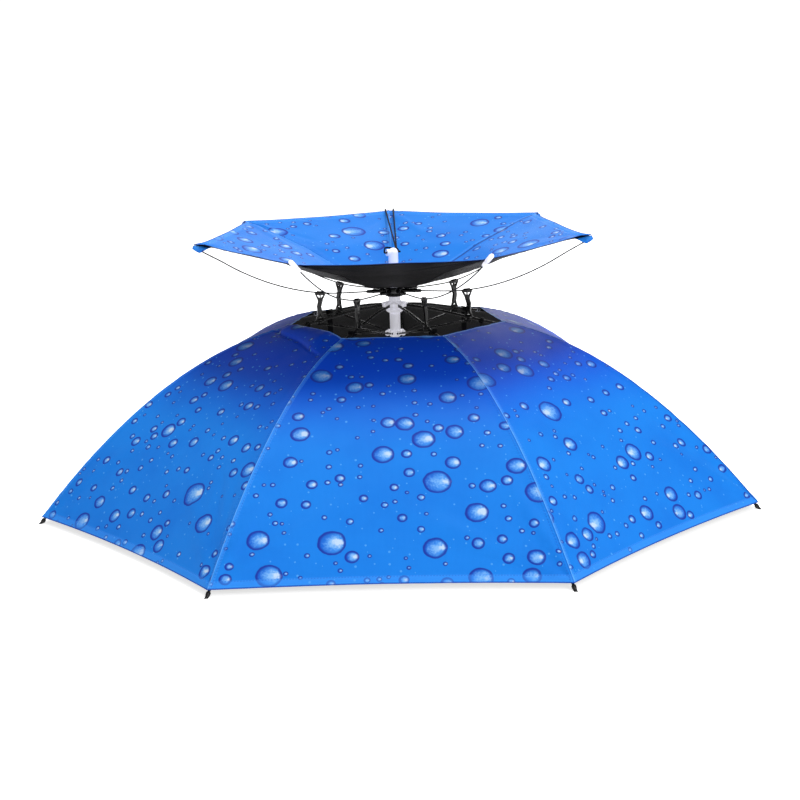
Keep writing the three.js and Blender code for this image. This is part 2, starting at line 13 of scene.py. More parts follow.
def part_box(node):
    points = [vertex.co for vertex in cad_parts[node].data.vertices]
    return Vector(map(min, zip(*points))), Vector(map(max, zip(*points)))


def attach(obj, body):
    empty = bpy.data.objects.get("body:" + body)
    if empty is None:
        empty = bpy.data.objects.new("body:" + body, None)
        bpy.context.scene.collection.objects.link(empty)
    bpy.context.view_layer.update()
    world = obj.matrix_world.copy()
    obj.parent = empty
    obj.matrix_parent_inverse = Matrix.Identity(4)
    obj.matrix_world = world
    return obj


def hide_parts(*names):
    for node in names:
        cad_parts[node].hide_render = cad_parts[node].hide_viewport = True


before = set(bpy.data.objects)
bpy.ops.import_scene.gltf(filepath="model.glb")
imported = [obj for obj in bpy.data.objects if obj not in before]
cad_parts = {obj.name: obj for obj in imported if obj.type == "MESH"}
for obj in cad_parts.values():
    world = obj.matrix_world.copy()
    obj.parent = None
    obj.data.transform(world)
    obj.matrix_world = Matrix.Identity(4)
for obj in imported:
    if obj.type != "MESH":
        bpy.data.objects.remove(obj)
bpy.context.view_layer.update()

MM = 0.001
BODY = "root"

post_box = [Vector(corner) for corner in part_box("post")]
AXIS = (post_box[0] + post_box[1]) / 2
AXIS.z = 0

# Sizes that the solids have too, in millimetres.
RIBS = 7
STEP = 2 * math.pi / RIBS
FIT = 0.3
WALL = 1.2
LOWER_REACH = 385
LOWER_HOLE = 117.5
LOWER_RISE = 187
CORNER_HEIGHT = 7
FIRST_SLOPE = 0.182
HEM_HOLLOW = 8
UPPER_REACH = 204.5
UPPER_HOLE = 5.5
UPPER_SLOPE = 0.294
RIM_SAG = 1.5
UPPER_TURN = math.radians(1.8)
# For each rib's corner: height over the mean as a share of the rise, turn past UPPER_TURN in degrees, and how
# far the cap runs past the wire's end
UPPER_CORNERS = [(0.03, 0.9, 8), (0.06, 1.2, 3), (0, 0, 3), (-0.125, -0.7, 14), (-0.115, -0.4, 14),
                 (-0.03, 0, 3), (0.055, 0, 3)]
CROWN_TURN = math.radians(-1.7)
CROWN_RISE = 17
POST_RADIUS = 5.6
POST_FOOT = 35
SPINDLE_RADIUS = 3.6
CROWN_FOOT = 8
CROWN_RADIUS = 13.8
CROWN_NECK = 7.4
CROWN_TOP = 9
COLLAR_RADIUS = 6.5
RUNNER_DROP = 30.5
RUNNER_HEIGHT = 5
EAR_OFFSET = 3
HUB_RADIUS = 10
HUB_ABOVE = 3.5
SLEEVE_REACH = 30
SLEEVE_RADIUS = 2
FINIAL_RADIUS = 5.2
FINIAL_FLANGE = 8.6
FINIAL_HEIGHT = 40.5
EYE_DROP = 4.7
EYE_RADIUS = 1.7
EYE_BOSS = 3.6
EYE_REACH = 7.4
EYE_ANGLE = math.radians(205)
RIB_RADIUS = 1.45
SEAM_ROOM = 0.9
RIB_BEND = 38
RIB_RUN = 32
RIB_DROOP = 0.06
WIRE_RADIUS = 0.7
WIRE_LEVEL_REACH = 55
WIRE_PAST = 5.5
WIRE_BELOW = 1.6
# The corners whose caps sit in pockets of the cloth, and how the wire's end levels off in them
POCKETS = (1, 2, 5, 6)
POCKET_DROP = 2.8
POCKET_PROUD = 2
CORNER_PULL = 7
BELLY = 4.5
STRUT_RADIUS = 81
STRUT_HEIGHT = 28
STRUT_PLATE = 3
STRUT_STEM = 5.3
STRUT_BOW = 1.2
HEAD_WIDTH = 11.5
HEAD_HEIGHT = 8
FOOT_WIDTH = 9
FOOT_HEIGHT = 6
CAP_RADIUS = 2.5
CAP_GRIP = 8
TIP_GRIP = 3
TIP_LENGTH = 9
BAND_RADIUS = 92
BAND_THICKNESS = 1.6
BAND_HEIGHT = 30
BAND_FOOT = 94
HANGER_WIDTH = 8
HANGER_THICKNESS = 1.6
HANGER_LAP = 26
CORD_RADIUS = 0.85
CORD_SPREAD = 4.6

HOLE_HEIGHT = CORNER_HEIGHT + LOWER_RISE
ROOT_HEIGHT = HOLE_HEIGHT + CROWN_RISE
RUNNER_MIDDLE = ROOT_HEIGHT - RUNNER_DROP
CLAMP_RADIUS = HUB_RADIUS + 2
CLAMP_RISE = HUB_ABOVE + FIT + WALL
WIRE_REACH = UPPER_REACH + WIRE_PAST


# Camera, at the photograph's angle

def set_camera():
    turn = Matrix.Rotation(0.0312, 3, "Z")
    target = turn @ Vector((2.8, 0, 99.2)) + Vector((0, 0, CORNER_HEIGHT))
    elevation = 0.2098
    back = turn @ Vector((0, -math.cos(elevation), math.sin(elevation)))
    data = bpy.data.cameras.new("camera")
    data.lens = 82.23
    data.sensor_width = 36
    data.clip_end = 60
    camera = bpy.data.objects.new("camera", data)
    bpy.context.collection.objects.link(camera)
    place = AXIS + (target + 1977 * back) * MM
    look = (-back).to_track_quat("-Z", "Y").to_matrix() @ Matrix.Rotation(-0.0287, 3, "Z")
    camera.matrix_world = Matrix.Translation(place) @ look.to_4x4()
    bpy.context.scene.camera = camera


set_camera()
bpy.context.scene.view_settings.view_transform = "Standard"


# Shape helpers

def polar(radius, angle, height):
    return Vector((radius * math.cos(angle), radius * math.sin(angle), height))


def rib_angle(rib):
    return math.pi / 2 + rib * STEP


def lerp(a, b, share):
    return a + (b - a) * share


def smooth(low, high, value):
    share = min(1, max(0, (value - low) / (high - low)))
    return share * share * (3 - 2 * share)


def wave(x):
    return 0.5 + 0.5 * math.cos(math.pi * min(1, abs(x)))


def curve_point(points, share):
    """A point of the centripetal Catmull-Rom curve through the points."""
    last = len(points) - 1
    place = share * last
    step = min(int(place), last - 1)
    weight = place - step
    p1, p2 = points[step], points[step + 1]
    p0 = points[step - 1] if step > 0 else 2 * p1 - p2
    p3 = points[step + 2] if step + 2 <= last else 2 * p2 - p1
    d0, d1, d2 = (max(1e-4, (b - a).length ** 0.5) for a, b in ((p0, p1), (p1, p2), (p2, p3)))
    t1 = ((p1 - p0) / d0 - (p2 - p0) / (d0 + d1) + (p2 - p1) / d1) * d1
    t2 = ((p2 - p1) / d1 - (p3 - p1) / (d1 + d2) + (p3 - p2) / d2) * d1
    c2 = -3 * p1 + 3 * p2 - 2 * t1 - t2
    c3 = 2 * p1 - 2 * p2 + t1 + t2
    return p1 + weight * (t1 + weight * (c2 + weight * c3))


def curve(points, steps):
    return [curve_point(points, i / steps) for i in range(steps + 1)]


def at_radius(points, radius):
    low, high = 0, 1
    for _ in range(30):
        middle = (low + high) / 2
        point = curve_point(points, middle)
        if math.hypot(point.x, point.y) < radius:
            low = middle
        else:
            high = middle
    return curve_point(points, low)


def new_object(name, mesh, material=None, replaces=()):
    piece = bpy.data.objects.new(name, mesh)
    bpy.context.collection.objects.link(piece)
    if material:
        mesh.materials.append(material)
    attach(piece, BODY)
    if replaces:
        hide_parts(*replaces)
    return piece


def mesh_from(name, vertices, faces, smooth_faces=True):
    mesh = bpy.data.meshes.new(name)
    mesh.from_pydata([AXIS + v * MM for v in vertices], [], faces)
    mesh.validate()
    if smooth_faces:
        mesh.shade_smooth()
    return mesh


def sweep(points, radii, sides, closed=False):
    """Vertices and faces of a round tube along points. radii is one number or one for each point."""
    count = len(points)
    if not isinstance(radii, (list, tuple)):
        radii = [radii] * count
    tangents = []
    for i in range(count):
        before = points[(i - 1) % count] if closed or i else points[0]
        after = points[(i + 1) % count] if closed or i < count - 1 else points[-1]
        if (after - before).length < 1e-6:
            before, after = points[0], points[-1]
        tangents.append((after - before).normalized())
    side = tangents[0].orthogonal().normalized()
    vertices, faces = [], []
    for i, (point, tangent) in enumerate(zip(points, tangents)):
        side = (side - tangent * side.dot(tangent)).normalized()
        other = tangent.cross(side)
        for j in range(sides):
            turn = 2 * math.pi * j / sides
            vertices.append(point + radii[i] * (math.cos(turn) * side + math.sin(turn) * other))
    rings = count if closed else count - 1
    for i in range(rings):
        for j in range(sides):
            a = i * sides + j
            b = i * sides + (j + 1) % sides
            c = ((i + 1) % count) * sides + (j + 1) % sides
            d = ((i + 1) % count) * sides + j
            faces.append((a, b, c, d))
    if not closed:
        faces.append(tuple(reversed(range(sides))))
        faces.append(tuple((count - 1) * sides + j for j in range(sides)))
    return vertices, faces


def lathe(profile, sides):
    """Vertices and faces turned round the post's axis. profile goes round the section, [radius, height]."""
    vertices, faces, rings = [], [], []
    for radius, height in profile:
        if radius == 0:
            rings.append([len(vertices)])
            vertices.append(Vector((0, 0, height)))
        else:
            rings.append([len(vertices) + i for i in range(sides)])
            vertices += [polar(radius, 2 * math.pi * i / sides, height) for i in range(sides)]
    closed = profile[0][0] != 0
    pairs = list(zip(rings, rings[1:]))
    if closed:
        pairs.append((rings[-1], rings[0]))
    for low, high in pairs:
        for i in range(sides):
            j = (i + 1) % sides
            corners = [low[i % len(low)], low[j % len(low)], high[j % len(high)], high[i % len(high)]]
            face = list(dict.fromkeys(corners))
            if len(face) > 2:
                faces.append(tuple(face))
    return vertices, faces


def joined(*shapes):
    vertices, faces = [], []
    for more_vertices, more_faces in shapes:
        start = len(vertices)
        vertices += more_vertices
        faces += [tuple(start + i for i in face) for face in more_faces]
    return vertices, faces


def apply_modifiers(piece):
    graph = bpy.context.evaluated_depsgraph_get()
    mesh = bpy.data.meshes.new_from_object(piece.evaluated_get(graph))
    old = piece.data
    piece.modifiers.clear()
    piece.data = mesh
    bpy.data.meshes.remove(old)


def cut(piece, shapes, operation="DIFFERENCE"):
    """Cuts shapes, each (vertices, faces), out of a piece, or joins them to it."""
    for shape in shapes:
        mesh = mesh_from("cutter", *shape, smooth_faces=False)
        cutter = bpy.data.objects.new("cutter", mesh)
        bpy.context.collection.objects.link(cutter)
        modifier = piece.modifiers.new("cut", "BOOLEAN")
        modifier.operation = operation
        modifier.solver = "EXACT"
        modifier.object = cutter
        apply_modifiers(piece)
        bpy.data.objects.remove(cutter)
        bpy.data.meshes.remove(mesh)


def soften(piece, width, segments=2, angle=35):
    """Rounds the sharp edges of a hard piece and shades it smooth between them."""
    bevel = piece.modifiers.new("edges", "BEVEL")
    bevel.width = width * MM
    bevel.segments = segments
    bevel.limit_method = "ANGLE"
    bevel.angle_limit = math.radians(angle)
    bevel.harden_normals = False
    apply_modifiers(piece)
    piece.data.shade_smooth()
    piece.data.set_sharp_from_angle(angle=math.radians(50))


def outward(piece):
    mesh = piece.data
    work = bmesh.new()
    work.from_mesh(mesh)
    bmesh.ops.recalc_face_normals(work, faces=work.faces)
    work.to_mesh(mesh)
    work.free()


# Materials

class Graph:
    """A material's nodes, with short calls to add and join them."""

    def __init__(self, name):
        self.material = bpy.data.materials.new(name)
        self.material.use_nodes = True
        self.tree = self.material.node_tree
        self.shader = self.tree.nodes["Principled BSDF"]

    def put(self, socket, value):
        if isinstance(value, bpy.types.NodeSocket):
            self.tree.links.new(value, socket)
        else:
            socket.default_value = value

    def add(self, kind, inputs=(), **settings):
        node = self.tree.nodes.new(kind)
        for key, value in settings.items():
            setattr(node, key, value)
        for key, value in dict(inputs).items():
            self.put(node.inputs[key], value)
        return node

    def math(self, operation, *values, clamp=False):
        node = self.add("ShaderNodeMath", operation=operation, use_clamp=clamp)
        for socket, value in zip(node.inputs, values):
            self.put(socket, value)
        return node.outputs[0]

    def vector(self, operation, *values, scale=None):
        node = self.add("ShaderNodeVectorMath", operation=operation)
        for socket, value in zip(node.inputs, values):
            self.put(socket, value)
        if scale is not None:
            self.put(node.inputs["Scale"], scale)
        return node.outputs["Value" if operation in ("LENGTH", "DOT_PRODUCT", "DISTANCE") else "Vector"]

    def band(self, value, low, high):
        """0 below low and 1 above high, smooth between. With low over high it falls instead."""
        falls = not isinstance(low, bpy.types.NodeSocket) and not isinstance(high, bpy.types.NodeSocket)
        if falls and low > high:
            return self.math("SUBTRACT", 1, self.band(value, high, low))
        node = self.add("ShaderNodeMapRange", interpolation_type="SMOOTHSTEP")
        self.put(node.inputs["Value"], value)
        self.put(node.inputs["From Min"], low)
        self.put(node.inputs["From Max"], high)
        return node.outputs["Result"]

    def span(self, value, low, high):
        node = self.add("ShaderNodeMapRange")
        self.put(node.inputs["Value"], value)
        self.put(node.inputs["To Min"], low)
        self.put(node.inputs["To Max"], high)
        return node.outputs["Result"]

    def blend(self, share, first, second, how="MIX"):
        node = self.add("ShaderNodeMix", data_type="RGBA", blend_type=how)
        self.put(node.inputs[0], share)
        for socket, colour in ((node.inputs[6], first), (node.inputs[7], second)):
            self.put(socket, colour if isinstance(colour, bpy.types.NodeSocket) else (*colour, 1))
        return node.outputs[2]

    def noise(self, where, scale, detail=2, rough=0.5, key="Fac"):
        node = self.add("ShaderNodeTexNoise", {"Vector": where, "Scale": scale, "Detail": detail,
                                               "Roughness": rough})
        return node.outputs[key]

    def uv(self, name):
        return self.add("ShaderNodeUVMap", uv_map=name).outputs[0]

    def place(self):
        return self.add("ShaderNodeTexCoord").outputs["Object"]

    def split(self, vector):
        node = self.add("ShaderNodeSeparateXYZ", {"Vector": vector})
        return node.outputs

    def bump(self, height, distance, strength=1.0, after=None):
        node = self.add("ShaderNodeBump", {"Height": height, "Strength": strength, "Distance": distance})
        if after is not None:
            self.put(node.inputs["Normal"], after)
        return node.outputs["Normal"]


def drop_layer(g, where, pitch, smallest, largest, share, seed):
    """One layer of printed drops, in metres. Returns each point's place in its drop, the drop's radius, its
    random numbers and its middle."""
    shifted = g.vector("ADD", where, (seed * 1.7, seed * 2.3, 0))
    cells = g.vector("SCALE", shifted, scale=1 / pitch)
    nearest = g.add("ShaderNodeTexVoronoi", {"Vector": cells, "Scale": 1, "Randomness": 1},
                    voronoi_dimensions="2D", feature="F1")
    room = g.add("ShaderNodeTexVoronoi", {"Vector": cells, "Scale": 1, "Randomness": 1},
                 voronoi_dimensions="2D", feature="N_SPHERE_RADIUS")
    chance = g.add("ShaderNodeSeparateColor", {"Color": nearest.outputs["Color"]}).outputs
    wanted = g.span(g.math("POWER", chance[0], 1.6), smallest / pitch, largest / pitch)
    free = g.math("MULTIPLY", room.outputs["Radius"], 0.92)
    radius = g.math("MINIMUM", wanted, free)
    shown = g.math("LESS_THAN", chance[2], share)
    big_enough = g.math("GREATER_THAN", free, smallest * 0.9 / pitch)
    radius = g.math("MULTIPLY", radius, g.math("MULTIPLY", shown, big_enough))
    centre = nearest.outputs["Position"]
    offset = g.vector("SUBTRACT", cells, centre)
    return {
        "offset": g.vector("SCALE", offset, scale=pitch),
        "radius": g.math("MULTIPLY", radius, pitch),
        "chance": chance,
        "centre": g.vector("SUBTRACT", g.vector("SCALE", centre, scale=pitch), (seed * 1.7, seed * 2.3, 0)),
    }


def keep_clear(g, layer, others):
    """Takes away the drops of a layer that would run into a drop of another layer. others gives, for the
    middle of each drop, the layers of larger drops there."""
    radius = layer["radius"]
    for other in others:
        away = g.vector("LENGTH", other["offset"])
        wanted = g.math("ADD", g.math("ADD", other["radius"], radius), 0.0006)
        free = g.math("GREATER_THAN", away, wanted)
        none = g.math("LESS_THAN", other["radius"], 0.0001)
        radius = g.math("MULTIPLY", radius, g.math("MAXIMUM", free, none))
    layer["radius"] = radius


# The lights in a printed drop, over one another: middle, squeeze, how coarsely and finely its edge is broken,
# where it fades out and is full, strength, colour
DROP_LIGHTS = [
    ((0.12, 0.02, 0), (1.0, 1.12, 0), 0.9, 1.1, 0.9, 0.3, 0.78, (0.10, 0.30, 0.67)),
    ((0.30, 0.02, 0), (1.25, 1.75, 0), 1.3, 1.7, 0.9, 0.2, 0.78, (0.22, 0.41, 0.68)),
    ((0.52, 0.04, 0), (2.3, 3.0, 0), 2.4, 1.4, 1.0, 0.3, 0.8, (0.46, 0.56, 0.68)),
]


def paint_drops(g, colour, layer, fuzz, outline, painted_top_shade):
    """Prints a layer's drops over a colour: a soft dark outline, a body that is dark blue on one side and
    pale on the other, and misty lights. fuzz is the print's unevenness, coarse and fine, and the last argument
    is 1 where painted shade darkens the cloth under the upper canopy."""
    coarse, fine = fuzz
    radius = g.math("MAXIMUM", layer["radius"], 0.00001)
    stretch = g.vector("MULTIPLY", layer["offset"], (0.95, 1.06, 0))
    wobble = g.math("MULTIPLY", coarse, g.math("MULTIPLY", radius, 0.22))
    share = g.math("DIVIDE", g.math("ADD", g.vector("LENGTH", stretch), wobble), radius)
    local = g.vector("SCALE", stretch, scale=g.math("DIVIDE", 1, radius))
    exists = g.math("GREATER_THAN", layer["radius"], 0.0001)
    width = g.math("DIVIDE", outline, radius)

    def within(widths):
        """The share of the radius that lies so many widths of the outline inside the drop's edge."""
        return g.math("SUBTRACT", 1, g.math("MULTIPLY", width, widths))

    outside = g.math("ADD", 1, g.math("MULTIPLY", width, 0.25))
    inside = g.math("MULTIPLY", exists, g.band(share, outside, within(0.35)))
    rim = g.band(share, within(2.6), within(0.8))
    x, y, _ = g.split(local)
    lean = g.math("ADD", x, g.math("MULTIPLY", coarse, 0.9))
    body = g.blend(g.band(lean, -0.95, 0.85), (0.005, 0.090, 0.47), (0.030, 0.205, 0.63))
    for middle, squeeze, coarsely, finely, faded, full, strength, light in DROP_LIGHTS:
        place = g.vector("MULTIPLY", g.vector("SUBTRACT", local, middle), squeeze)
        broken = g.math("ADD", g.math("MULTIPLY", coarse, coarsely), g.math("MULTIPLY", fine, finely))
        ragged = g.math("ADD", g.vector("LENGTH", place), broken)
        body = g.blend(g.math("MULTIPLY", g.band(ragged, faded, full), strength), body, light)
    under = g.band(g.math("ADD", g.math("MULTIPLY", x, -0.55), y), 0.35, 0.95)
    body = g.blend(g.math("MULTIPLY", under, 0.5), body, (0.006, 0.085, 0.44))
    # Painted shade under the upper canopy darkens the drops at the top too
    body = g.blend(g.math("MULTIPLY", painted_top_shade, 0.42), body, (0.006, 0.05, 0.36))
    drop = g.blend(g.math("MULTIPLY", rim, 0.9), body, (0.008, 0.017, 0.24))
    return g.blend(inside, colour, drop)


def cloth_print(name, painted_sheen_haze, hole_highlight_strength, gloss):
    """The printed side of the cloth. The second argument is how much painted sheen, a grey haze, lies over
    the print, the third how strong the painted highlight along the hem of the top's hole is, and gloss its
    shine."""
    g = Graph(name)
    print_uv = g.uv("print")
    edge_uv = g.uv("edges")
    seam, hem, _ = g.split(edge_uv)
    coarse = g.math("SUBTRACT", g.noise(print_uv, 95, 2), 0.5)
    fine = g.math("SUBTRACT", g.noise(print_uv, 420, 3, 0.6), 0.5)
    fuzz = (coarse, fine)
    # Pitch of the drops, smallest and largest radius in metres, share that is printed, and seed
    big = (0.050, 0.0085, 0.0140, 0.62, 3)
    middle = (0.030, 0.0042, 0.0080, 0.62, 11)
    small = (0.0165, 0.0020, 0.0038, 0.52, 23)
    specks = (0.0105, 0.0006, 0.0015, 0.36, 37)
    first = drop_layer(g, print_uv, *big)
    second = drop_layer(g, print_uv, *middle)
    third = drop_layer(g, print_uv, *small)
    fourth = drop_layer(g, print_uv, *specks)
    keep_clear(g, second, [drop_layer(g, second["centre"], *big)])
    keep_clear(g, third, [drop_layer(g, third["centre"], *big), drop_layer(g, third["centre"], *middle)])
    keep_clear(g, fourth, [drop_layer(g, fourth["centre"], *big)])
    # Painted shade: the ground darkens from clear blue at the hem to dark blue at the top, under the upper
    # canopy
    painted_top_shade = g.band(hem, 0.13, 0.25)
    ground = g.blend(g.noise(print_uv, 5, 3), (0.006, 0.152, 0.575), (0.007, 0.176, 0.62))
    ground = g.blend(g.band(g.noise(print_uv, 16, 4), 0.35, 0.8), ground, (0.005, 0.138, 0.55))
    ground = g.blend(painted_top_shade, ground, (0.0012, 0.044, 0.49))
    mist = g.math("MULTIPLY", g.band(fine, 0.12, 0.3), g.band(g.noise(print_uv, 40, 3), 0.5, 0.7))
    ground = g.blend(g.math("MULTIPLY", mist, 0.3), ground, (0.05, 0.26, 0.70))
    # The smallest are pale specks without an outline
    speck_radius = g.math("MAXIMUM", fourth["radius"], 0.00001)
    speck = g.band(g.math("DIVIDE", g.vector("LENGTH", fourth["offset"]), speck_radius), 1.05, 0.5)
    speck = g.math("MULTIPLY", speck, g.math("GREATER_THAN", fourth["radius"], 0.0001))
    colour = g.blend(g.math("MULTIPLY", speck, 0.7), ground, (0.07, 0.30, 0.66))
    colour = paint_drops(g, colour, third, fuzz, 0.0008, painted_top_shade)
    colour = paint_drops(g, colour, second, fuzz, 0.0012, painted_top_shade)
    colour = paint_drops(g, colour, first, fuzz, 0.0014, painted_top_shade)
    # Threads of the weave, crossing
    u, v, _ = g.split(print_uv)
    weave_pitch = 2 * math.pi / 0.0011
    across = g.math("SINE", g.math("MULTIPLY", u, weave_pitch))
    along = g.math("SINE", g.math("MULTIPLY", v, weave_pitch))
    weave = g.math("MULTIPLY", g.math("ADD", across, along), 0.25)
    weave_patch = g.span(g.noise(print_uv, 60, 2), 0.5, 1.0)
    weave = g.math("MULTIPLY", weave, weave_patch)
    colour = g.blend(g.math("MULTIPLY_ADD", weave, 0.05, 0.02), colour, (0.12, 0.35, 0.85))
    # A lapped seam: painted highlight makes the edge of the upper panel pale, and painted shade a dark line
    # in the fold beside it
    seam_away = g.math("ABSOLUTE", seam)
    under = g.math("LESS_THAN", seam, 0)
    over = g.math("SUBTRACT", 1, under)
    dash = g.band(g.math("SINE", g.math("MULTIPLY", v, 2 * math.pi / 0.0028)), -0.25, 0.15)
    hem_dash = g.band(g.math("SINE", g.math("MULTIPLY", u, 2 * math.pi / 0.0028)), -0.25, 0.15)

    def line(value, middle, faded, full):
        return g.band(g.math("ABSOLUTE", g.math("SUBTRACT", value, middle)), faded, full)

    seam_line = g.math("MULTIPLY", line(seam_away, 0.0033, 0.0007, 0.0002), dash)
    hem_line = g.math("MULTIPLY", line(hem, 0.0072, 0.0006, 0.0002), hem_dash)
    stitches = g.math("MAXIMUM", seam_line, hem_line)
    # Painted highlight on the raised lap of the upper panel
    lap = g.math("MULTIPLY", g.band(seam_away, 0.0046, 0.0040), over)
    colour = g.blend(g.math("MULTIPLY", lap, 0.22), colour, (0.08, 0.34, 0.86))
    hem_strip = g.band(hem, 0.0085, 0.0075)
    colour = g.blend(g.math("MULTIPLY", hem_strip, 0.3), colour, (0.06, 0.30, 0.84))
    colour = g.blend(g.math("MULTIPLY", stitches, 0.4), colour, (0.01, 0.06, 0.42))
    # Painted highlight and painted shade along each seam: pale gives the highlight on the upper panel's edge,
    # dark the shade in the fold
    pale, dark, _ = g.split(g.uv("seam_light_uv"))
    fold_shade_width = g.math("MULTIPLY", dark, 0.0014)
    painted_fold_shade = g.band(seam_away, g.math("ADD", fold_shade_width, 0.0010), g.math("ADD", fold_shade_width, 0.0001))
    painted_fold_shade = g.math("MULTIPLY", g.math("MULTIPLY", painted_fold_shade, under), g.math("MINIMUM", dark, 1))
    colour = g.blend(g.math("MULTIPLY", painted_fold_shade, 0.85), colour, (0.004, 0.022, 0.20))
    painted_seam_highlight = g.math("MULTIPLY", g.band(seam_away, 0.0013, 0.0005), g.math("MULTIPLY", over, pale))
    painted_seam_highlight = g.math("MULTIPLY", painted_seam_highlight, g.span(g.noise(edge_uv, 160, 2), 0.35, 1.0))
    colour = g.blend(g.math("MULTIPLY", painted_seam_highlight, 0.62), colour, (0.16, 0.42, 0.86))
    edge_line = g.band(hem, 0.0016, 0.0006)
    colour = g.blend(g.math("MULTIPLY", edge_line, 0.8), colour, (0.008, 0.03, 0.24))
    # Painted highlight along the hem of the top's hole
    hole_away = g.split(g.uv("hole"))[0]
    painted_hole_highlight = g.math("MULTIPLY", g.band(hole_away, 0.0026, 0.0016), hole_highlight_strength)
    colour = g.blend(g.math("MULTIPLY", painted_hole_highlight, 0.6), colour, (0.20, 0.42, 0.85))
    # Painted sheen: a grey haze over the print, for the shine of the cloth seen at a slant
    colour = g.blend(painted_sheen_haze, colour, (0.14, 0.14, 0.16))
    g.put(g.shader.inputs["Base Color"], colour)
    rough = g.span(g.noise(print_uv, 30, 3), 0.42, 0.55)
    g.put(g.shader.inputs["Roughness"], rough)
    g.shader.inputs["Specular IOR Level"].default_value = gloss
    g.shader.inputs["Sheen Weight"].default_value = 0.01
    g.shader.inputs["Sheen Roughness"].default_value = 0.35
    slack = g.noise(print_uv, 9, 3, 0.45)
    normal = g.bump(slack, 0.0035, 0.5)
    drawn_out = g.vector("MULTIPLY", print_uv, (1, 3, 1))
    pucker = g.math("MULTIPLY", g.noise(drawn_out, 140, 2), g.band(seam_away, 0.012, 0.0))
    normal = g.bump(pucker, 0.0012, 0.6, normal)
    normal = g.bump(g.math("MULTIPLY", stitches, -1), 0.0003, 0.7, normal)
    normal = g.bump(weave, 0.00018, 0.5, normal)
    g.put(g.shader.inputs["Normal"], normal)
    return g.material


def cloth_back():
    """The coated underside: black, with a soft shine and fine creases."""
    g = Graph("cloth_back")
    where = g.uv("print")
    fine = g.noise(where, 70, 4)
    g.put(g.shader.inputs["Base Color"], g.blend(fine, (0.0007, 0.0006, 0.0011), (0.0022, 0.002, 0.0032)))
    g.put(g.shader.inputs["Roughness"], g.span(g.noise(where, 25, 3), 0.4, 0.55))
    g.shader.inputs["Specular IOR Level"].default_value = 0.035
    u, v, _ = g.split(where)
    pitch = 2 * math.pi / 0.0011
    across, along = (g.math("SINE", g.math("MULTIPLY", way, pitch)) for way in (u, v))
    weave = g.math("ADD", across, along)
    normal = g.bump(g.noise(where, 12, 4), 0.004, 0.5)
    normal = g.bump(weave, 0.0001, 0.5, normal)
    g.put(g.shader.inputs["Normal"], normal)
    return g.material


def hard_material(name, dark, light, rough, grain, coat=0.0, gloss=0.35, painted_glow=0.0):
    """Moulded plastic or enamelled metal: two close tones, uneven gloss and a fine surface."""
    g = Graph(name)
    where = g.place()
    tone = g.noise(where, 55, 4)
    worn = g.band(g.noise(where, 320, 3), 0.52, 0.75)
    colour = g.blend(tone, dark, light)
    colour = g.blend(g.math("MULTIPLY", worn, 0.25), colour, light)
    g.put(g.shader.inputs["Base Color"], colour)
    g.put(g.shader.inputs["Roughness"], g.span(g.noise(where, 180, 3), rough[0], rough[1]))
    # Painted light: the pale plastic glows, so that it is bright in the shade too.
    g.put(g.shader.inputs["Emission Color"], colour)
    g.shader.inputs["Emission Strength"].default_value = painted_glow
    g.shader.inputs["Coat Weight"].default_value = coat
    g.shader.inputs["Specular IOR Level"].default_value = gloss
    g.shader.inputs["Coat Roughness"].default_value = 0.2
    normal = g.bump(g.noise(where, grain, 3), 0.0002, 0.35)
    g.put(g.shader.inputs["Normal"], normal)
    return g.material


def braid(name, dark, light, pitch):
    """Braided elastic: two sets of strands that cross, from the piece's own length and turn."""
    g = Graph(name)
    u, v, _ = g.split(g.uv("print"))
    one = g.math("SINE", g.math("MULTIPLY", g.math("ADD", u, v), 2 * math.pi / pitch))
    two = g.math("SINE", g.math("MULTIPLY", g.math("SUBTRACT", u, v), 2 * math.pi / pitch))
    cross = g.math("MAXIMUM", one, two)
    fuzz = g.noise(g.place(), 900, 3)
    colour = g.blend(g.band(cross, -0.2, 0.9), dark, light)
    colour = g.blend(g.math("MULTIPLY", fuzz, 0.4), colour, dark)
    g.put(g.shader.inputs["Base Color"], colour)
    g.put(g.shader.inputs["Roughness"], g.span(fuzz, 0.6, 0.9))
    g.shader.inputs["Specular IOR Level"].default_value = 0.12
    normal = g.bump(cross, 0.0004, 0.6)
    normal = g.bump(fuzz, 0.0002, 0.5, normal)
    g.put(g.shader.inputs["Normal"], normal)
    return g.material


def floor_material():
    g = Graph("studio_floor")
    tone = g.noise(g.place(), 3, 3)
    g.put(g.shader.inputs["Base Color"], g.blend(tone, (0.80, 0.80, 0.805), (0.83, 0.83, 0.835)))
    g.shader.inputs["Roughness"].default_value = 0.9
    g.shader.inputs["Specular IOR Level"].default_value = 0.1
    g.shader.inputs["Emission Color"].default_value = (1, 1, 1, 1)
    g.shader.inputs["Emission Strength"].default_value = 0.7
    return g.material


LOWER_PRINT = cloth_print("lower_print", 0, 0.8, 0.05)
UPPER_PRINT = cloth_print("upper_print", 0.07, 0, 0.015)
BACK = cloth_back()
WHITE = hard_material("white_plastic", (0.72, 0.71, 0.80), (0.86, 0.86, 0.92), (0.26, 0.4), 600,
                      painted_glow=0.3)
BLACK = hard_material("black_plastic", (0.0015, 0.0015, 0.002), (0.005, 0.005, 0.006), (0.1, 0.2), 500,
                      coat=0.1)
METAL = hard_material("rib_enamel", (0.003, 0.003, 0.0035), (0.009, 0.009, 0.01), (0.2, 0.34), 700,
                      gloss=0.25)
ELASTIC = braid("black_elastic", (0.0004, 0.0004, 0.0012), (0.002, 0.002, 0.0045), 0.0016)
THREAD = braid("pale_thread", (0.45, 0.50, 0.62), (0.82, 0.86, 0.93), 0.0008)


# Lower canopy

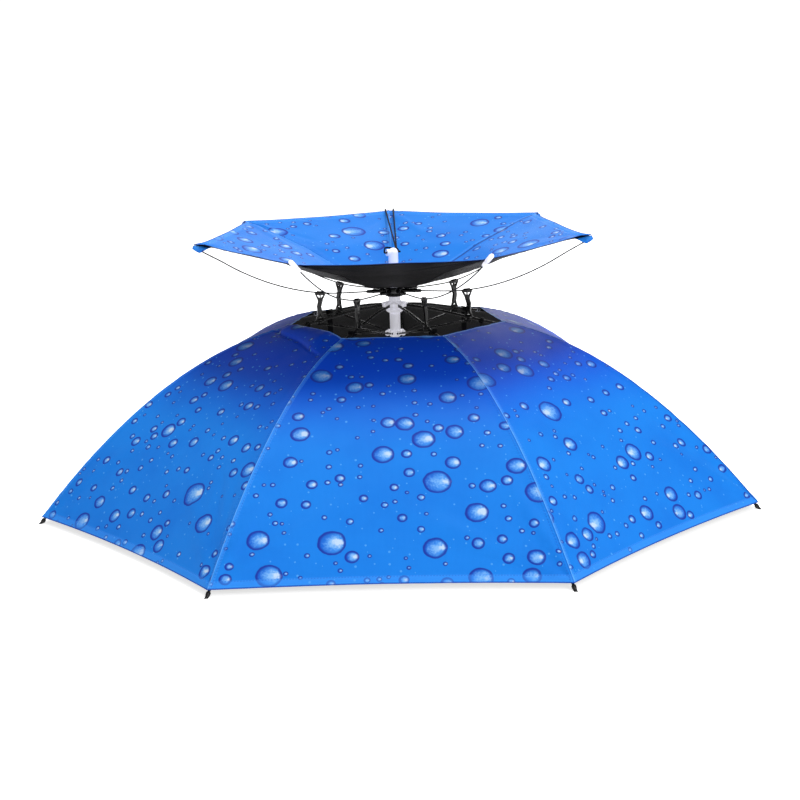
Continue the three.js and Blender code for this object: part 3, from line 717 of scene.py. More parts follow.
def lower_meridian(along):
    span = LOWER_REACH - LOWER_HOLE
    out = along * span
    bend = (LOWER_RISE - FIRST_SLOPE * span) / span ** 2
    height = HOLE_HEIGHT - FIRST_SLOPE * out - bend * out ** 2
    return LOWER_HOLE + out, height, FIRST_SLOPE + 2 * bend * out


def lower_surface(panel, across, along):
    radius, height, _ = lower_meridian(along)
    left = polar(radius, rib_angle(panel), height)
    right = polar(radius, rib_angle(panel + 1), height)
    widening = radius / LOWER_REACH
    inward = -HEM_HOLLOW * widening ** 2 * 4 * across * (1 - across)
    return left.lerp(right, across) + polar(inward, rib_angle(panel + 0.5), 0)


def upper_seam(rib):
    """The turn and the slope of the upper canopy's seam over a rib."""
    lift, turn, _ = UPPER_CORNERS[rib % RIBS]
    return UPPER_TURN + math.radians(turn), UPPER_SLOPE * (1 + lift)


def upper_surface(panel, across, along):
    radius = lerp(CLAMP_RADIUS, UPPER_REACH, along)

    def on_seam(rib):
        turn, slope = upper_seam(rib)
        return polar(radius, rib_angle(rib) + turn, CLAMP_HEIGHT + max(0, radius - CLAMP_RADIUS) * slope)

    left = on_seam(panel)
    right = on_seam(panel + 1)
    along = max(0, along)
    sag = -RIM_SAG * along ** 2 * 4 * across * (1 - across) - BELLY * math.sin(math.pi * min(1, along / 0.55))
    point = left.lerp(right, across) + Vector((0, 0, sag))
    width = (right - left).length
    rim_away = (1 - along) * (UPPER_REACH - CLAMP_RADIUS)
    for rib, side_away in ((panel, across * width), (panel + 1, (1 - across) * width)):
        if rib % RIBS in POCKETS:
            # The cloth is drawn out into a point over the cap
            pull = CORNER_PULL * (1 - smooth(0, 20, rim_away)) * wave(side_away / 9)
            point += polar(pull, rib_angle(rib) + upper_seam(rib)[0], -0.09 * pull)
    return point


def surface_normal(surface, panel, across, along):
    step = 1e-3

    def one(panel, across, sign):
        back = -step if along > 0.5 else step
        here = surface(panel, across, along)
        down = (surface(panel, across, along + back) - here) * math.copysign(1, back)
        beside = (surface(panel, across + sign * step, along) - here) * sign
        return down.cross(beside).normalized()

    if 1e-6 < across < 1 - 1e-6:
        return one(panel, across, 1 if across < 0.5 else -1)
    if across >= 1 - 1e-6:
        panel += 1
    return (one(panel, 0, 1) + one(panel - 1, 1, -1)).normalized()


def spread(counts):
    """Shares from 0 to 1, close together at both ends."""
    near = [0, 0.003, 0.0065, 0.011, 0.018, 0.03]
    inner = [lerp(0.05, 0.95, i / counts) for i in range(counts + 1)]
    return near + inner + [1 - share for share in reversed(near)]


def cloth(name, surface, relief, rows, columns, shifts, seam_light_and_shade, print_material):
    """A sheet of seven panels with a printed and a plain face. relief gives how far the cloth stands off its
    smooth surface, in millimetres, shifts moves and turns each panel's print, and the seam table gives, for
    each seam, the strength of its painted highlight and painted shade."""
    thickness = 0.45
    shares = spread(columns)[:-1]
    per_ring = RIBS * len(shares)
    vertices, spots = [], []
    for side in (0, 1):
        for along in rows:
            for panel in range(RIBS):
                for across in shares:
                    point = surface(panel, across, along)
                    normal = surface_normal(surface, panel, across, along)
                    lift = relief(panel, across, along)
                    vertices.append(point + normal * (lift - side * thickness))
    ring_count = len(rows)

    def index(side, row, column):
        return (side * ring_count + row) * per_ring + column % per_ring

    faces, corners, inner = [], [], []
    full = spread(columns)
    count = len(shares)

    def spot(panel, column, row):
        return panel, full[column], rows[row]

    for side in (0, 1):
        for row in range(ring_count - 1):
            for panel in range(RIBS):
                for column in range(count):
                    a = panel * count + column
                    quad = [(row, a), (row + 1, a), (row + 1, a + 1), (row, a + 1)]
                    where = [spot(panel, column, row), spot(panel, column, row + 1),
                             spot(panel, column + 1, row + 1), spot(panel, column + 1, row)]
                    if side:
                        # Turned so that both faces split along the same diagonal
                        quad = [quad[i] for i in (2, 1, 0, 3)]
                        where = [where[i] for i in (2, 1, 0, 3)]
                    faces.append(tuple(index(side, r, c) for r, c in quad))
                    corners.append(where)
                    inner.append(side)
    for row in (0, ring_count - 1):
        for panel in range(RIBS):
            for column in range(count):
                a = panel * count + column
                quad = [index(0, row, a), index(0, row, a + 1), index(1, row, a + 1), index(1, row, a)]
                where = [spot(panel, column, row), spot(panel, column + 1, row)]
                where = where + where[::-1]
                if row == 0:
                    quad.reverse()
                    where.reverse()
                faces.append(tuple(quad))
                corners.append(where)
                inner.append(0)
    mesh = bpy.data.meshes.new(name)
    mesh.from_pydata([AXIS + v * MM for v in vertices], [], faces)
    mesh.shade_smooth()
    for layer in ("print", "edges", "seam_light_uv", "hole"):
        mesh.uv_layers.new(name=layer)
    print_map, edge_map, seam_light_map, hole_map = mesh.uv_layers
    widths = {}
    lengths = {}
    travelled = 0
    last = None
    for along in rows:
        widths[along] = (surface(0, 1, along) - surface(0, 0, along)).length
        middle = surface(0, 0.5, along)
        if last is not None:
            travelled += (middle - last).length
        last = middle
        lengths[along] = travelled
    for polygon in mesh.polygons:
        spots = corners[polygon.index]
        near_left = sum(across for _, across, _ in spots) < len(spots) / 2
        # Each face takes the painted seam highlight and shade of its nearer seam
        seam_light = seam_light_and_shade[(spots[0][0] + (0 if near_left else 1)) % RIBS]
        for loop, (panel, across, along) in zip(polygon.loop_indices, spots):
            u = (across - 0.5) * widths[along]
            v = lengths[along]
            shift_u, shift_v, turn = shifts[panel % RIBS]
            turned_u = u * math.cos(turn) + v * math.sin(turn)
            turned_v = u * math.sin(turn) - v * math.cos(turn)
            print_map.data[loop].uv = ((turned_u + shift_u) * MM, (turned_v + shift_v) * MM)
            seam = across if near_left else across - 1
            edge_map.data[loop].uv = (seam * widths[along] * MM, (travelled - v) * MM)
            seam_light_map.data[loop].uv = seam_light
            hole_map.data[loop].uv = (v * MM, 0)
    mesh.materials.append(print_material)
    mesh.materials.append(BACK)
    for polygon in mesh.polygons:
        polygon.material_index = inner[polygon.index]
    return mesh, widths, lengths


class CornerFolds:
    """Soft folds that run from the corners of a panel up into the cloth."""

    def __init__(self, seed, count, height, length):
        rng = random.Random(seed)
        self.folds = []
        for panel in range(RIBS):
            for side in (0, 1):
                for _ in range(count):
                    self.folds.append({
                        "panel": panel,
                        "side": side,
                        "angle": rng.uniform(0.12, 1.15),
                        "width": rng.uniform(0.05, 0.11),
                        "height": height * rng.uniform(0.4, 1.0) * rng.choice((-0.7, 1)),
                        "length": length * rng.uniform(0.5, 1.0),
                    })

    def lift(self, panel, side_away, hem_away):
        """side_away is the distance to the left and right rib, hem_away to the hem, in millimetres."""
        total = 0
        for fold in self.folds:
            if fold["panel"] != panel % RIBS:
                continue
            x = side_away[fold["side"]]
            reach = math.hypot(x, hem_away)
            if reach > fold["length"] or reach < 1e-6:
                continue
            turn = math.atan2(x, hem_away)
            near = wave((turn - fold["angle"]) / (fold["width"] + 4 / (reach + 8)))
            fade = math.sin(math.pi * (reach / fold["length"]) ** 0.7)
            total += fold["height"] * near * fade
        return total


lower_folds = CornerFolds(5, 3, 2.6, 170)
upper_folds = CornerFolds(9, 2, 1.6, 90)
LOWER_LENGTH = 332
UPPER_LENGTH = 192
# How each panel was turned when it was cut from the printed cloth, in degrees
LOWER_PRINT_TURNS = [180, 0, -20, 0, 180, 0, 180]
UPPER_PRINT_TURNS = [0, 180, 0, 180, 0, 180, 180]
# For the seam over each rib: how strong the painted highlight on the edge of the upper panel is, and the
# painted shade in the fold beside it
LOWER_SEAM_LIGHT_AND_SHADE = [(0.8, 0.5), (0.8, 0.5), (0.7, 0.8), (1, 0.35), (1, 0.35), (0.8, 0.8), (0.8, 0.5)]
UPPER_SEAM_LIGHT_AND_SHADE = [(0.15, 0.3), (0.1, 0.3), (0.1, 0.3), (0.2, 0.4), (0.2, 0.4), (0.1, 0.3), (0, 3)]


def seam_relief(side_away, distance, height, seed):
    """A lapped seam with small puckers from its stitching."""
    left, right = side_away
    near = min(left, right)
    lap = 0.45 * wave(left / 4) if left < 4 else 0
    groove = -0.4 * wave(near / 1.2) if near < 1.2 else 0
    pucker = 0
    if near < 16:
        pucker = height * (1 - near / 16) ** 2 * noise.noise(Vector((distance / 6, near / 18, seed)))
    return lap + groove + pucker


def lower_relief(panel, across, along):
    wrapped = panel % RIBS
    radius, _, _ = lower_meridian(along)
    width = 2 * radius * math.sin(STEP / 2)
    distance = along * LOWER_LENGTH
    away = (across * width, (1 - across) * width)
    hem_away = LOWER_LENGTH - distance
    total = seam_relief(away, distance, 0.5, wrapped)
    total += lower_folds.lift(wrapped, away, hem_away)
    middle = 4 * across * (1 - across)
    total += 1.1 * middle * noise.noise(Vector((across * 3.1 + wrapped * 7, along * 3.3, 2)))
    if hem_away < 7:
        total += 0.3
    if hem_away < 22:
        total += 0.35 * (1 - hem_away / 22) * noise.noise(Vector((across * width / 14, wrapped * 5, 9)))
    if distance < 6:
        total += 0.3
    total += hole_relief(wrapped, across, distance, width)
    return total


def hole_relief(panel, across, distance, width):
    """The creases where the cloth is gathered at the hole of the top."""
    total = 0.5 * (1 - min(1, distance / 26)) * noise.noise(Vector((across * width / 9, panel * 3, 4)))
    if panel == 2:
        line = lerp(0.03, 0.15, across ** 0.8) * LOWER_LENGTH + 2.5 * math.sin(across * 9)
        over = line - distance
        if over > 0:
            belly = math.sin(min(1, over / max(1, line)) * math.pi * 0.8)
            lip = smooth(0, 1.6, over)
            total += lip * (2.2 + 4.0 * belly) * min(1, 6 * across * (1 - across))
        elif over > -7:
            total -= 1.3 * wave(over / 7) * min(1, 6 * across * (1 - across))
        crumple = max(0, 1 - math.hypot(across * width, distance * 0.8) / 26)
        total += 2.2 * crumple * noise.noise(Vector((across * width / 5, distance / 5, 8)))
    return total


def lower_rows():
    rows = [0, 0.004, 0.01, 0.018, 0.026]
    rows += [lerp(0.031, 0.2, i / 36) for i in range(37)]
    rows += [lerp(0.215, 0.93, i / 34) for i in range(35)]
    rows += [0.945, 0.96, 0.972, 0.9785, 0.982, 0.988, 0.994, 0.9985, 1]
    return rows


def panel_shifts(seed, turns):
    """Where each panel was cut from the printed cloth, in millimetres, and how it was turned, in degrees."""
    rng = random.Random(seed)
    return [(rng.uniform(600, 1500), rng.uniform(600, 1500), math.radians(turn)) for turn in turns]


def lower_rib_end(rib):
    tilt = math.atan(lower_meridian(1)[2])
    return under_seam(rib, 1), polar(math.cos(tilt), rib_angle(rib), -math.sin(tilt))


SEAT_DEPTH = WALL + SEAM_ROOM + RIB_RADIUS


def under_seam(rib, along):
    radius, height, slope = lower_meridian(along)
    tilt = math.atan(slope)
    return polar(radius - SEAT_DEPTH * math.sin(tilt), rib_angle(rib), height - SEAT_DEPTH * math.cos(tilt))


def bezier(a, b, c, d, steps):
    points = []
    for i in range(steps + 1):
        t = i / steps
        s = 1 - t
        points.append(s ** 3 * a + 3 * s * s * t * b + 3 * s * t * t * c + t ** 3 * d)
    return points


def lower_rib_points(rib):
    start = CROWN_NECK + FIT
    root = polar(start, rib_angle(rib) + CROWN_TURN, ROOT_HEIGHT)
    edge = under_seam(rib, 0)
    bend = polar(start + RIB_BEND, rib_angle(rib) + 1.5 * CROWN_TURN, ROOT_HEIGHT - RIB_BEND * RIB_DROOP)
    run = edge + polar(-RIB_RUN, rib_angle(rib), RIB_RUN * FIRST_SLOPE)
    inner = bezier(root, bend, run, edge, 4)
    outer = [under_seam(rib, along) for along in (0.15, 0.3, 0.45, 0.6, 0.75, 0.88, 1)]
    corner, direction = lower_rib_end(rib)
    return inner + outer + [corner + direction * TIP_GRIP]


WIRE_HEIGHT = at_radius(lower_rib_points(0), STRUT_RADIUS).z + STRUT_HEIGHT
HUB_TOP = WIRE_HEIGHT + HUB_ABOVE
CLAMP_HEIGHT = HUB_TOP + FIT + WALL
FINIAL_TOP = CLAMP_HEIGHT + FINIAL_HEIGHT
EYE_HEIGHT = FINIAL_TOP - EYE_DROP


def upper_rib_points(rib):
    root = HUB_RADIUS + 2
    level = [polar(radius, rib_angle(rib) + CROWN_TURN, WIRE_HEIGHT)
             for radius in (root, (root + WIRE_LEVEL_REACH) / 2, WIRE_LEVEL_REACH)]
    end_turn, slope = upper_seam(rib)
    rise = CLAMP_RISE + (UPPER_REACH - CLAMP_RADIUS) * slope - WIRE_BELOW
    bow = []
    for share in (0.1, 0.25, 0.4, 0.55, 0.7, 0.85, 0.93, 1):
        radius = lerp(WIRE_LEVEL_REACH, WIRE_REACH, share)
        turn = lerp(CROWN_TURN, end_turn, smooth(0, 1, share))
        drop = POCKET_DROP * smooth(0.86, 1, share) if rib % RIBS in POCKETS else 0
        bow.append(polar(radius, rib_angle(rib) + turn, WIRE_HEIGHT + rise * share ** 2 - drop))
    return level + bow


def make_lower_canopy():
    shifts = panel_shifts(41, LOWER_PRINT_TURNS)
    mesh, widths, lengths = cloth("lower_canopy_cloth", lower_surface, lower_relief, lower_rows(), 42, shifts,
                                  LOWER_SEAM_LIGHT_AND_SHADE, LOWER_PRINT)
    piece = new_object("lower_canopy_cloth", mesh, replaces=["lower_canopy"])


def upper_relief(panel, across, along):
    wrapped = panel % RIBS
    if along < 0:
        return 0
    radius = lerp(CLAMP_RADIUS, UPPER_REACH, along)
    width = 2 * radius * math.sin(STEP / 2)
    distance = along * UPPER_LENGTH
    away = (across * width, (1 - across) * width)
    rim_away = UPPER_LENGTH - distance
    fade = smooth(0, 30, distance)
    total = fade * seam_relief(away, distance, 0.4, wrapped + 20)
    total += fade * upper_folds.lift(wrapped, away, rim_away)
    middle = 4 * across * (1 - across)
    total += 0.9 * fade * middle * noise.noise(Vector((across * 2.7 + wrapped * 5, along * 3.1, 12)))
    if rim_away < 5:
        total += 0.3
    gathers = noise.noise(Vector((across * 4 + wrapped * 4, along * 2, 7)))
    total += 0.5 * (1 - smooth(10, 50, distance)) * gathers
    return total


def upper_rows():
    hole_share = (UPPER_HOLE - CLAMP_RADIUS) / (UPPER_REACH - CLAMP_RADIUS)
    rows = [hole_share, hole_share / 2, 0]
    rows += [lerp(0.03, 0.95, i / 36) for i in range(37)]
    rows += [0.962, 0.97, 0.9745, 0.979, 0.988, 0.996, 1]
    return rows


def make_upper_canopy():
    shifts = panel_shifts(67, UPPER_PRINT_TURNS)
    mesh, widths, lengths = cloth("upper_canopy_cloth", upper_surface, upper_relief, upper_rows(), 30, shifts,
                                  UPPER_SEAM_LIGHT_AND_SHADE, UPPER_PRINT)
    piece = new_object("upper_canopy_cloth", mesh, replaces=["upper_canopy"])
    inner_width, rim_width = widths[upper_rows()[0]], widths[1]
    pockets = [make_pocket(rib) for rib in POCKETS]


# Ribs and their ends

def make_ribs():
    for rib in range(RIBS):
        number = rib + 1
        points = curve(lower_rib_points(rib), 66)
        shape = sweep(points, RIB_RADIUS, 12)
        new_object(f"lower_rib_{number}_wire", mesh_from("lower_rib", *shape), METAL,
                   [f"lower_rib_{number}"])
        points = curve(upper_rib_points(rib), 60)
        new_object(f"upper_rib_{number}_wire", mesh_from("upper_rib", *sweep(points, WIRE_RADIUS, 10)), METAL,
                   [f"upper_rib_{number}"])


def cap_axis(rib):
    """The end of an upper rib, which way its cap runs on from there, and how far."""
    points = upper_rib_points(rib)
    end = points[-1]
    proud = POCKET_PROUD if rib in POCKETS else UPPER_CORNERS[rib][2]
    return end, (end - at_radius(points, WIRE_REACH - CAP_GRIP)).normalized(), proud


def make_pocket(rib):
    """The underside of the cloth pocket at a corner of the upper canopy. It hangs from the drawn-out corner
    and goes round the cap, open where the wire comes in."""
    end, direction, proud = cap_axis(rib)
    seam = [upper_surface(rib, 0, lerp(0.9, 1, i / 60)) for i in range(61)]
    side = direction.cross(Vector((0, 0, 1))).normalized()
    up = side.cross(direction)
    rng = random.Random(300 + rib)
    rings, sides = 16, 28
    vertices, faces = [], []
    start = -13
    reach = proud + 0.5 - start
    for wall in (0, 1):
        for i in range(rings):
            share = i / (rings - 1)
            centre = end + direction * (start + reach * share)
            above = min(seam, key=lambda point: abs((point - centre).dot(direction)))
            top = max(2.7, (above - centre).dot(up) - 0.35)
            # The mouth is slanted: its lower lip runs up into the cloth
            closed = smooth(0, 0.5, share)
            low = lerp(top - 1.2, -2.95, closed)
            close = 1 - 0.16 * smooth(0.8, 1, share)
            middle = centre + up * (top + low) / 2
            for j in range(sides):
                turn = 2 * math.pi * j / sides
                spot = Vector((math.cos(turn) * 1.6, share * 3 + rib, math.sin(turn) * 1.6))
                crease = 0.16 * noise.noise(spot)
                across = (lerp(5.4, 3.1, closed) * close + crease - 0.3 * wall) * math.cos(turn)
                rise = ((top - low) / 2 * close + (crease - 0.3 * wall) * closed) * math.sin(turn)
                vertices.append(middle + side * across + up * rise)
    for wall in (0, 1):
        for i in range(rings - 1):
            for j in range(sides):
                a = (wall * rings + i) * sides + j
                b = (wall * rings + i) * sides + (j + 1) % sides
                quad = (a, b, b + sides, a + sides)
                faces.append(quad if wall == 0 else quad[::-1])
    for i in (0, rings - 1):
        for j in range(sides):
            a, b = i * sides + j, i * sides + (j + 1) % sides
            c, d = b + rings * sides, a + rings * sides
            faces.append((d, c, b, a) if i == 0 else (a, b, c, d))
    mesh = mesh_from("pocket", vertices, faces)
    shift = rng.uniform(0.3, 1.2)
    with_print_uv(mesh, lambda co: (co.x * 1.2 + shift, (co - AXIS).dot(direction) + co.y * 0.5 + shift))
    edges = mesh.uv_layers.new(name="edges")
    for loop in mesh.loops:
        place = mesh.vertices[loop.vertex_index].co - AXIS
        away = (end + direction * (start + reach) - place / MM).dot(direction)
        edges.data[loop.index].uv = (0.02, (1.6 + away) * MM)
    for name, value in (("seam_light_uv", (0, 0)), ("hole", (0.1, 0))):
        layer = mesh.uv_layers.new(name=name)
        for loop in mesh.loops:
            layer.data[loop.index].uv = value
    return new_object(f"upper_pocket_{rib + 1}", mesh, UPPER_PRINT)


def make_upper_tip(rib):
    end, direction, proud = cap_axis(rib)
    start = end - direction * CAP_GRIP
    length = CAP_GRIP + proud
    outline = [(0.0, 0.0), (0.0, 0.68), (0.03, 0.84), (0.22, 0.9), (0.26, 0.72), (0.34, 0.72), (0.38, 0.96),
               (0.7, 1.0), (0.9, 0.98), (0.97, 0.8), (1.0, 0.45), (1.0, 0.0)]
    centres = [start + direction * length * share for share, _ in outline]
    radii = [max(0.02, CAP_RADIUS * share) for _, share in outline]
    shape = sweep(centres, radii, 20)
    piece = new_object(f"upper_tip_{rib + 1}_cap", mesh_from("upper_tip", *shape), WHITE,
                       [f"upper_tip_{rib + 1}"])
    outward(piece)


def make_lower_tip(rib):
    corner, direction = lower_rib_end(rib)
    outline = [(FIT, 0.02), (FIT, 1.9), (0.8, 2.25), (3.2, 2.3), (3.8, 2.0), (TIP_LENGTH - 2.4, 1.85),
               (TIP_LENGTH - 1.2, 2.3), (TIP_LENGTH - 0.4, 2.1), (TIP_LENGTH, 0.02)]
    centres = [corner + direction * distance for distance, _ in outline]
    shape = sweep(centres, [radius for _, radius in outline], 20)
    vertices = [Vector((v.x, v.y, max(0, v.z))) for v in shape[0]]
    piece = new_object(f"lower_tip_{rib + 1}_end", mesh_from("lower_tip", vertices, shape[1]), METAL,
                       [f"lower_tip_{rib + 1}"])
    outward(piece)


# Struts

def strut_basis(rib):
    foot = at_radius(lower_rib_points(rib), STRUT_RADIUS)
    head = at_radius(upper_rib_points(rib), STRUT_RADIUS - STRUT_BOW)
    up = head - foot
    height = up.length
    up.normalize()
    across = polar(1, rib_angle(rib) + CROWN_TURN + math.pi / 2, 0)
    out = -up.cross(across).normalized()
    side = out.cross(up).normalized()
    return foot, out, up, side, height


def strut_outline(height):
    stem = STRUT_STEM / 2
    neck = height - HEAD_HEIGHT
    head = HEAD_WIDTH / 2
    foot = FOOT_WIDTH / 2
    half = [(foot, FIT), (foot, 1.4), (foot - 0.5, 2.4), (stem + 0.35, FOOT_HEIGHT - 1),
            (stem, FOOT_HEIGHT + 1.2), (stem - 0.15 + STRUT_BOW, height / 2), (stem, neck - 1.2),
            (stem + 0.4, neck + 0.8),
            (head - 0.8, height - 3), (head, height - 1.7), (head, height + 0.5)]
    right = half
    left = [(-x + (2 * STRUT_BOW if abs(y - height / 2) < 1e-6 else 0), y) for x, y in reversed(half)]
    windows = [
        [(0.7, neck + 2.2), (0.7, height - 2.6), (head - 2.2, height - 2.6)],
        [(-0.7, neck + 2.2), (-head + 2.2, height - 2.6), (-0.7, height - 2.6)],
        [(-1.6, 3.2), (0, FOOT_HEIGHT), (1.6, 3.2)],
    ]
    return right + left, windows


def make_strut(rib):
    foot, out, up, side, height = strut_basis(rib)
    outline, windows = strut_outline(height)
    data = bpy.data.curves.new(f"strut_{rib + 1}", "CURVE")
    data.dimensions = "2D"
    data.fill_mode = "BOTH"
    edge = 0.8
    data.extrude = (STRUT_PLATE / 2 - edge) * MM
    data.bevel_depth = edge * MM
    data.bevel_resolution = 3
    data.offset = -edge * MM
    for ring in [outline, *windows]:
        spline = data.splines.new("POLY")
        spline.points.add(len(ring) - 1)
        spline.use_cyclic_u = True
        for point, (x, y) in zip(spline.points, ring):
            point.co = (x * MM, y * MM, 0, 1)
    draft = bpy.data.objects.new("draft", data)
    bpy.context.collection.objects.link(draft)
    graph = bpy.context.evaluated_depsgraph_get()
    mesh = bpy.data.meshes.new_from_object(draft.evaluated_get(graph))
    bpy.data.objects.remove(draft)
    basis = Matrix((
        (out.x, up.x, side.x, AXIS.x + foot.x * MM),
        (out.y, up.y, side.y, AXIS.y + foot.y * MM),
        (out.z, up.z, side.z, AXIS.z + foot.z * MM),
        (0, 0, 0, 1),
    ))
    mesh.transform(basis)
    mesh.materials.clear()
    piece = new_object(f"strut_{rib + 1}_prop", mesh, BLACK, [f"strut_{rib + 1}"])
    mesh.shade_smooth()
    mesh.set_sharp_from_angle(angle=math.radians(40))
    clips = []
    for points, radius, centre in ((lower_rib_points(rib), RIB_RADIUS, STRUT_RADIUS),
                                   (upper_rib_points(rib), WIRE_RADIUS, STRUT_RADIUS - STRUT_BOW)):
        reach = 3.6
        start = at_radius(points, centre - reach)
        end = at_radius(points, centre + reach)
        clips.append(sweep([start, start.lerp(end, 0.04), start.lerp(end, 0.96), end],
                           [radius + 0.6, radius + 1.0, radius + 1.0, radius + 0.6], 16))
    clip = new_object(f"strut_{rib + 1}_clips", mesh_from("clips", *joined(*clips)), BLACK)
    outward(clip)
    return piece


# Post, crown, runner, hub and finial

def make_post():
    foot = ROOT_HEIGHT - POST_FOOT
    shoulder = ROOT_HEIGHT - CROWN_FOOT - FIT
    top = EYE_HEIGHT - EYE_RADIUS - 2
    nose = []
    for i in range(9):
        turn = math.pi / 2 * i / 8
        nose.append((POST_RADIUS - 2.2 + 2.2 * math.sin(turn), foot + 2.6 - 2.6 * math.cos(turn)))
    profile = [(0, foot), *nose, (POST_RADIUS, shoulder - 0.4), (POST_RADIUS - 0.4, shoulder),
               (SPINDLE_RADIUS, shoulder), (SPINDLE_RADIUS, top), (0, top)]
    piece = new_object("post_tube", mesh_from("post", *lathe(profile, 56)), WHITE, ["post"])
    outward(piece)
    piece.data.set_sharp_from_angle(angle=math.radians(50))


def box_shape(low, high, turn):
    corners = []
    for z in (low[2], high[2]):
        for x, y in ((low[0], low[1]), (high[0], low[1]), (high[0], high[1]), (low[0], high[1])):
            corners.append(Matrix.Rotation(turn, 3, "Z") @ Vector((x, y, z)))
    faces = [(3, 2, 1, 0), (4, 5, 6, 7), (0, 1, 5, 4), (1, 2, 6, 5), (2, 3, 7, 6), (3, 0, 4, 7)]
    return corners, faces


def make_crown():
    bore = SPINDLE_RADIUS + FIT
    outline = [(CROWN_NECK, -CROWN_FOOT), (CROWN_NECK + 1.8, -6.5), (CROWN_NECK + 1.8, -5), (CROWN_NECK, -3.4),
               (CROWN_NECK, -2.4), (CROWN_RADIUS, -1.6), (CROWN_RADIUS, 2), (CROWN_NECK, 3.8),
               (COLLAR_RADIUS, 4.4), (COLLAR_RADIUS, CROWN_TOP)]
    profile = [(bore, ROOT_HEIGHT - CROWN_FOOT)]
    profile += [(radius, ROOT_HEIGHT + height) for radius, height in outline]
    profile += [(bore, ROOT_HEIGHT + CROWN_TOP)]
    piece = new_object("crown_ring", mesh_from("crown", *lathe(profile, 70), smooth_faces=False), WHITE,
                       ["crown"])
    outward(piece)
    width = RIB_RADIUS + 0.42
    low, high = ROOT_HEIGHT - 2.9, ROOT_HEIGHT + 4.1
    past = CROWN_RADIUS + 2
    slots = []
    for inner, half, shift in ((CROWN_NECK, width, 0), (CROWN_RADIUS - 2.2, 1.1, 0.5)):
        for rib in range(RIBS):
            angle = rib_angle(rib + shift) + CROWN_TURN
            slots.append(box_shape((inner, -half, low), (past, half, high), angle))
    cut(piece, slots)
    soften(piece, 0.3)


def make_runner():
    bore = POST_RADIUS + FIT
    low = RUNNER_MIDDLE - RUNNER_HEIGHT / 2
    high = RUNNER_MIDDLE + RUNNER_HEIGHT / 2
    wall = bore + 1.2
    profile = [(bore, low), (wall - 0.3, low), (wall, low + 0.3), (wall, high - 0.3), (wall - 0.3, high),
               (bore, high)]
    shapes = [lathe(profile, 48)]
    for rib in range(RIBS):
        angle = rib_angle(rib) + CROWN_TURN
        centre = polar(POST_RADIUS + EAR_OFFSET, angle, RUNNER_MIDDLE)
        across = polar(1, angle + math.pi / 2, 0)
        out = polar(1, angle, 0)
        ring = [centre + 2.1 * (math.cos(t) * out + math.sin(t) * Vector((0, 0, 1)))
                for t in (2 * math.pi * i / 24 for i in range(24))]
        vertices, faces = sweep(ring, 1.0, 12, closed=True)
        flattened = [centre + (v - centre) + across * (0.1 * (v - centre).dot(across)) for v in vertices]
        shapes.append((flattened, faces))
    piece = new_object("runner_ring", mesh_from("runner", *joined(*shapes)), WHITE, ["runner"])
    outward(piece)
    piece.data.set_sharp_from_angle(angle=math.radians(50))


def make_hub():
    bore = SPINDLE_RADIUS + FIT
    low = ROOT_HEIGHT + CROWN_TOP + FIT
    edge = 1.5
    profile = [(bore, low), (HUB_RADIUS - edge, low), (HUB_RADIUS - 0.4, low + 0.5), (HUB_RADIUS, low + edge),
               (HUB_RADIUS, HUB_TOP - edge), (HUB_RADIUS - 0.4, HUB_TOP - 0.5), (HUB_RADIUS - edge, HUB_TOP),
               (bore, HUB_TOP)]
    shapes = [lathe(profile, 56)]
    for rib in range(RIBS):
        angle = rib_angle(rib) + CROWN_TURN
        stops = [(HUB_RADIUS - 2, 2.2), (HUB_RADIUS + 1, 2.2), (HUB_RADIUS + 3, SLEEVE_RADIUS),
                 (21, SLEEVE_RADIUS), (21.6, 2.3), (22.6, 2.3), (23.2, SLEEVE_RADIUS),
                 (SLEEVE_REACH - 0.8, 1.7), (SLEEVE_REACH, 1.2)]
        centres = [polar(radius, angle, WIRE_HEIGHT) for radius, _ in stops]
        shapes.append(sweep(centres, [radius for _, radius in stops], 16))
    piece = new_object("upper_hub_ring", mesh_from("hub", *joined(*shapes)), BLACK,
                       ["upper_hub"])
    outward(piece)
    piece.data.set_sharp_from_angle(angle=math.radians(50))


def make_finial():
    low = CLAMP_HEIGHT + FIT
    dome = []
    for i in range(12):
        lift = math.pi / 2 * i / 12
        dome.append((FINIAL_RADIUS * math.cos(lift), FINIAL_TOP - FINIAL_RADIUS * (1 - math.sin(lift))))
    spindle_top = EYE_HEIGHT - EYE_RADIUS - 2
    bore = SPINDLE_RADIUS + FIT
    profile = [(0, spindle_top + FIT), (bore, spindle_top + FIT), (bore, low), (FINIAL_FLANGE - 0.3, low),
               (FINIAL_FLANGE, low + 0.3), (FINIAL_FLANGE, low + 0.9), (FINIAL_FLANGE - 0.4, low + 1.2),
               (FINIAL_RADIUS + 0.8, low + 1.7), (FINIAL_RADIUS, low + 2.8), *dome, (0, FINIAL_TOP)]
    piece = new_object("finial_cap", mesh_from("finial", *lathe(profile, 56), smooth_faces=False), WHITE,
                       ["finial"])
    outward(piece)
    middle = Vector((0, 0, EYE_HEIGHT))
    boss_end = polar(EYE_REACH, EYE_ANGLE, EYE_HEIGHT)
    boss = sweep([middle, boss_end], EYE_BOSS, 32)
    cut(piece, [boss], "UNION")
    hole = sweep([polar(reach, EYE_ANGLE, EYE_HEIGHT) for reach in (-2 * FINIAL_RADIUS, 2 * EYE_REACH)],
                 EYE_RADIUS, 24)
    cut(piece, [hole])
    soften(piece, 0.4, 3)


# Stretchers

